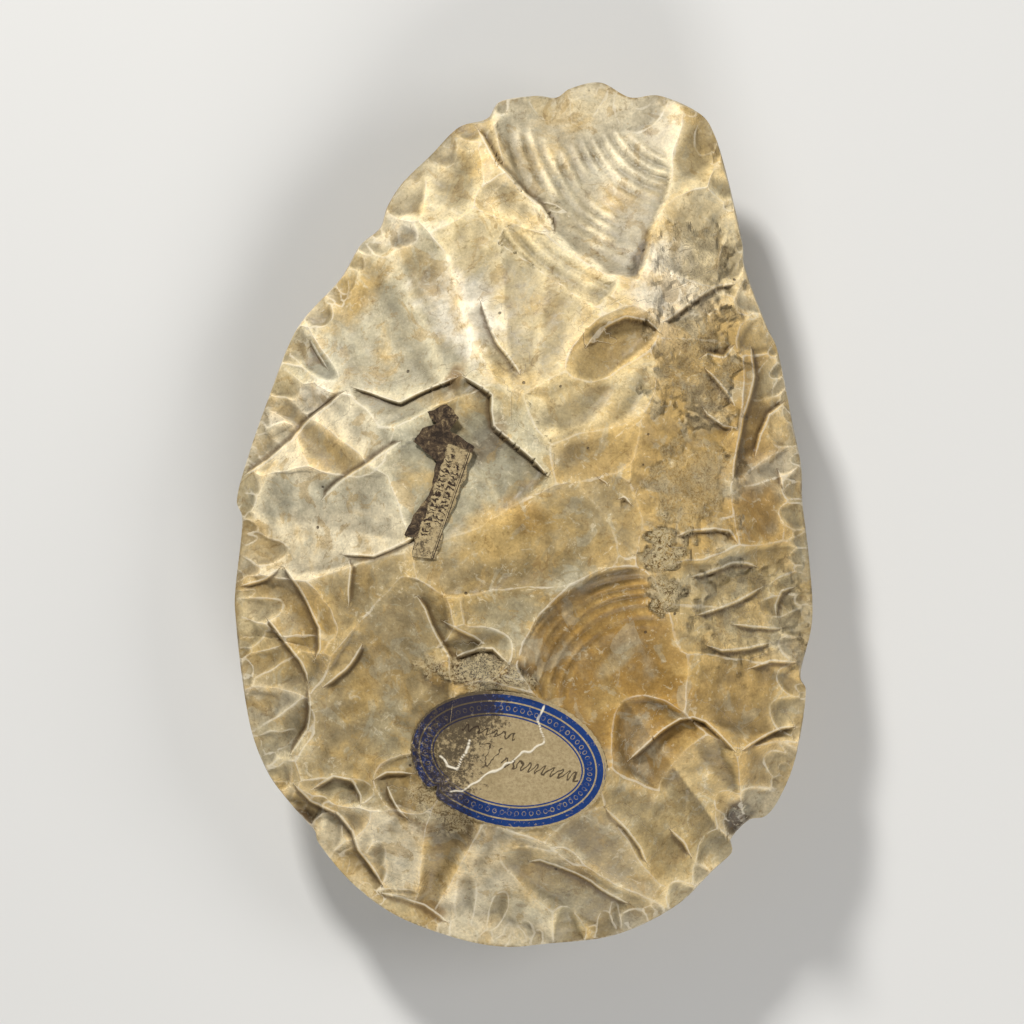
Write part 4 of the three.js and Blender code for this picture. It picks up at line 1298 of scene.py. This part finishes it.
def printed_label_material(paper_nodes):
    """A printed strip with a double line down its right side, under a dark torn residue."""
    material, tree, shader = new_material("printed_paper")
    place, along, across = laid_out(tree, STRIP_FOOT, STRIP_TURN)
    lines = [window(tree, across, start, end, 0.03) for start, end in ((0.45, 0.6), (0.8, 0.88))]
    rows = [print_row(tree, place, along, across, *row) for row in ((5.5, 16, 1.75), (3, 17.5, 3.35))]
    printed = highest(tree, *lines, *rows)
    paper, height = old_paper(tree, paper_nodes, place, INK_BROWN, printed, 0.75)
    ragged = noise_texture(tree, place, 2.5, 6, 0.7)
    ragged = times(tree, minus(tree, ragged, 0.5), 2.5)
    past_side = between(tree, plus(tree, across, ragged), 4.1, 4.3)
    past_top = between(tree, plus(tree, along, ragged), 18.6, 18.9)
    torn = highest(tree, past_side, past_top)
    clots = noise_texture(tree, place, 1.1, 8, 0.75, 0.5)
    residue = colour_mix(tree, between(tree, clots, 0.42, 0.56), screen(RESIDUE_DARK), screen(RESIDUE))
    residue = colour_mix(tree, between(tree, clots, 0.56, 0.62, 0, 0.8), residue, screen(PAPER_TAN))
    colour = colour_mix(tree, torn, paper, residue)
    height = plus(tree, height, times(tree, clots, torn, 3.0))
    dressed(tree, shader, colour, 0.75, 0.25, height, 0.08)
    return material


# ---- The studio -------------------------------------------------------------------------------


def floor_sheet():
    bm = bmesh.new()
    bmesh.ops.create_grid(bm, x_segments=1, y_segments=1, size=2)
    bmesh.ops.translate(bm, verts=bm.verts, vec=(0, 0, TABLE))
    material, _, shader = new_material("pale_floor")
    shader.inputs["Base Color"].default_value = FLOOR_COLOUR
    shader.inputs["Roughness"].default_value = 0.8
    finished(bm, "floor", material)


def overhead_camera():
    """Straight down on the axe, its point to the top of the frame."""
    distance = FRAME_WIDTH * LENS / SENSOR
    data = bpy.data.cameras.new("camera")
    data.lens, data.sensor_width = LENS, SENSOR
    data.clip_end = 100
    camera = bpy.data.objects.new("camera", data)
    camera.location = on_frame(*FRAME_CENTRE, EDGE_HEIGHT + distance)
    bpy.context.scene.collection.objects.link(camera)
    bpy.context.scene.camera = camera


def soft_light(name, azimuth, elevation, size, power, colour):
    """A square soft light aimed at the axe."""
    data = bpy.data.lights.new(name, "AREA")
    data.size, data.energy, data.color = size, power, colour
    light = bpy.data.objects.new(name, data)
    a, e = math.radians(azimuth), math.radians(elevation)
    away = Vector((math.cos(a) * math.cos(e), math.sin(a) * math.cos(e), math.sin(e)))
    light.location = PLAN_CENTRE + LIGHT_DISTANCE * away
    light.rotation_euler = away.to_track_quat("Z", "Y").to_euler()
    bpy.context.scene.collection.objects.link(light)


def studio():
    floor_sheet()
    overhead_camera()
    for name, row in LIGHTS.items():
        soft_light(name, *row)
    world = bpy.data.worlds.new("studio")
    bpy.context.scene.world = world
    world.use_nodes = True
    sky = world.node_tree.nodes["Background"].inputs
    sky["Color"].default_value = SKY_COLOUR
    sky["Strength"].default_value = SKY_STRENGTH
    bpy.context.scene.view_settings.view_transform = "Standard"


# ---- The assembly -----------------------------------------------------------------------------

specks_nodes, paper_nodes = specks_group(), paper_group()
studio()
stone = flint_axe(flint_material(specks_nodes))
front = front_layers()
oval = oval_label(oval_label_material(paper_nodes), front)
strip = printed_label(printed_label_material(paper_nodes), front)

for piece, node, slot in (
    (stone, "hand_axe", "flint"),
    (oval, "oval_label", "oval_label_paper"),
    (strip, "printed_label", "printed_label_paper"),
):
    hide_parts(node)
    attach(piece, "root")
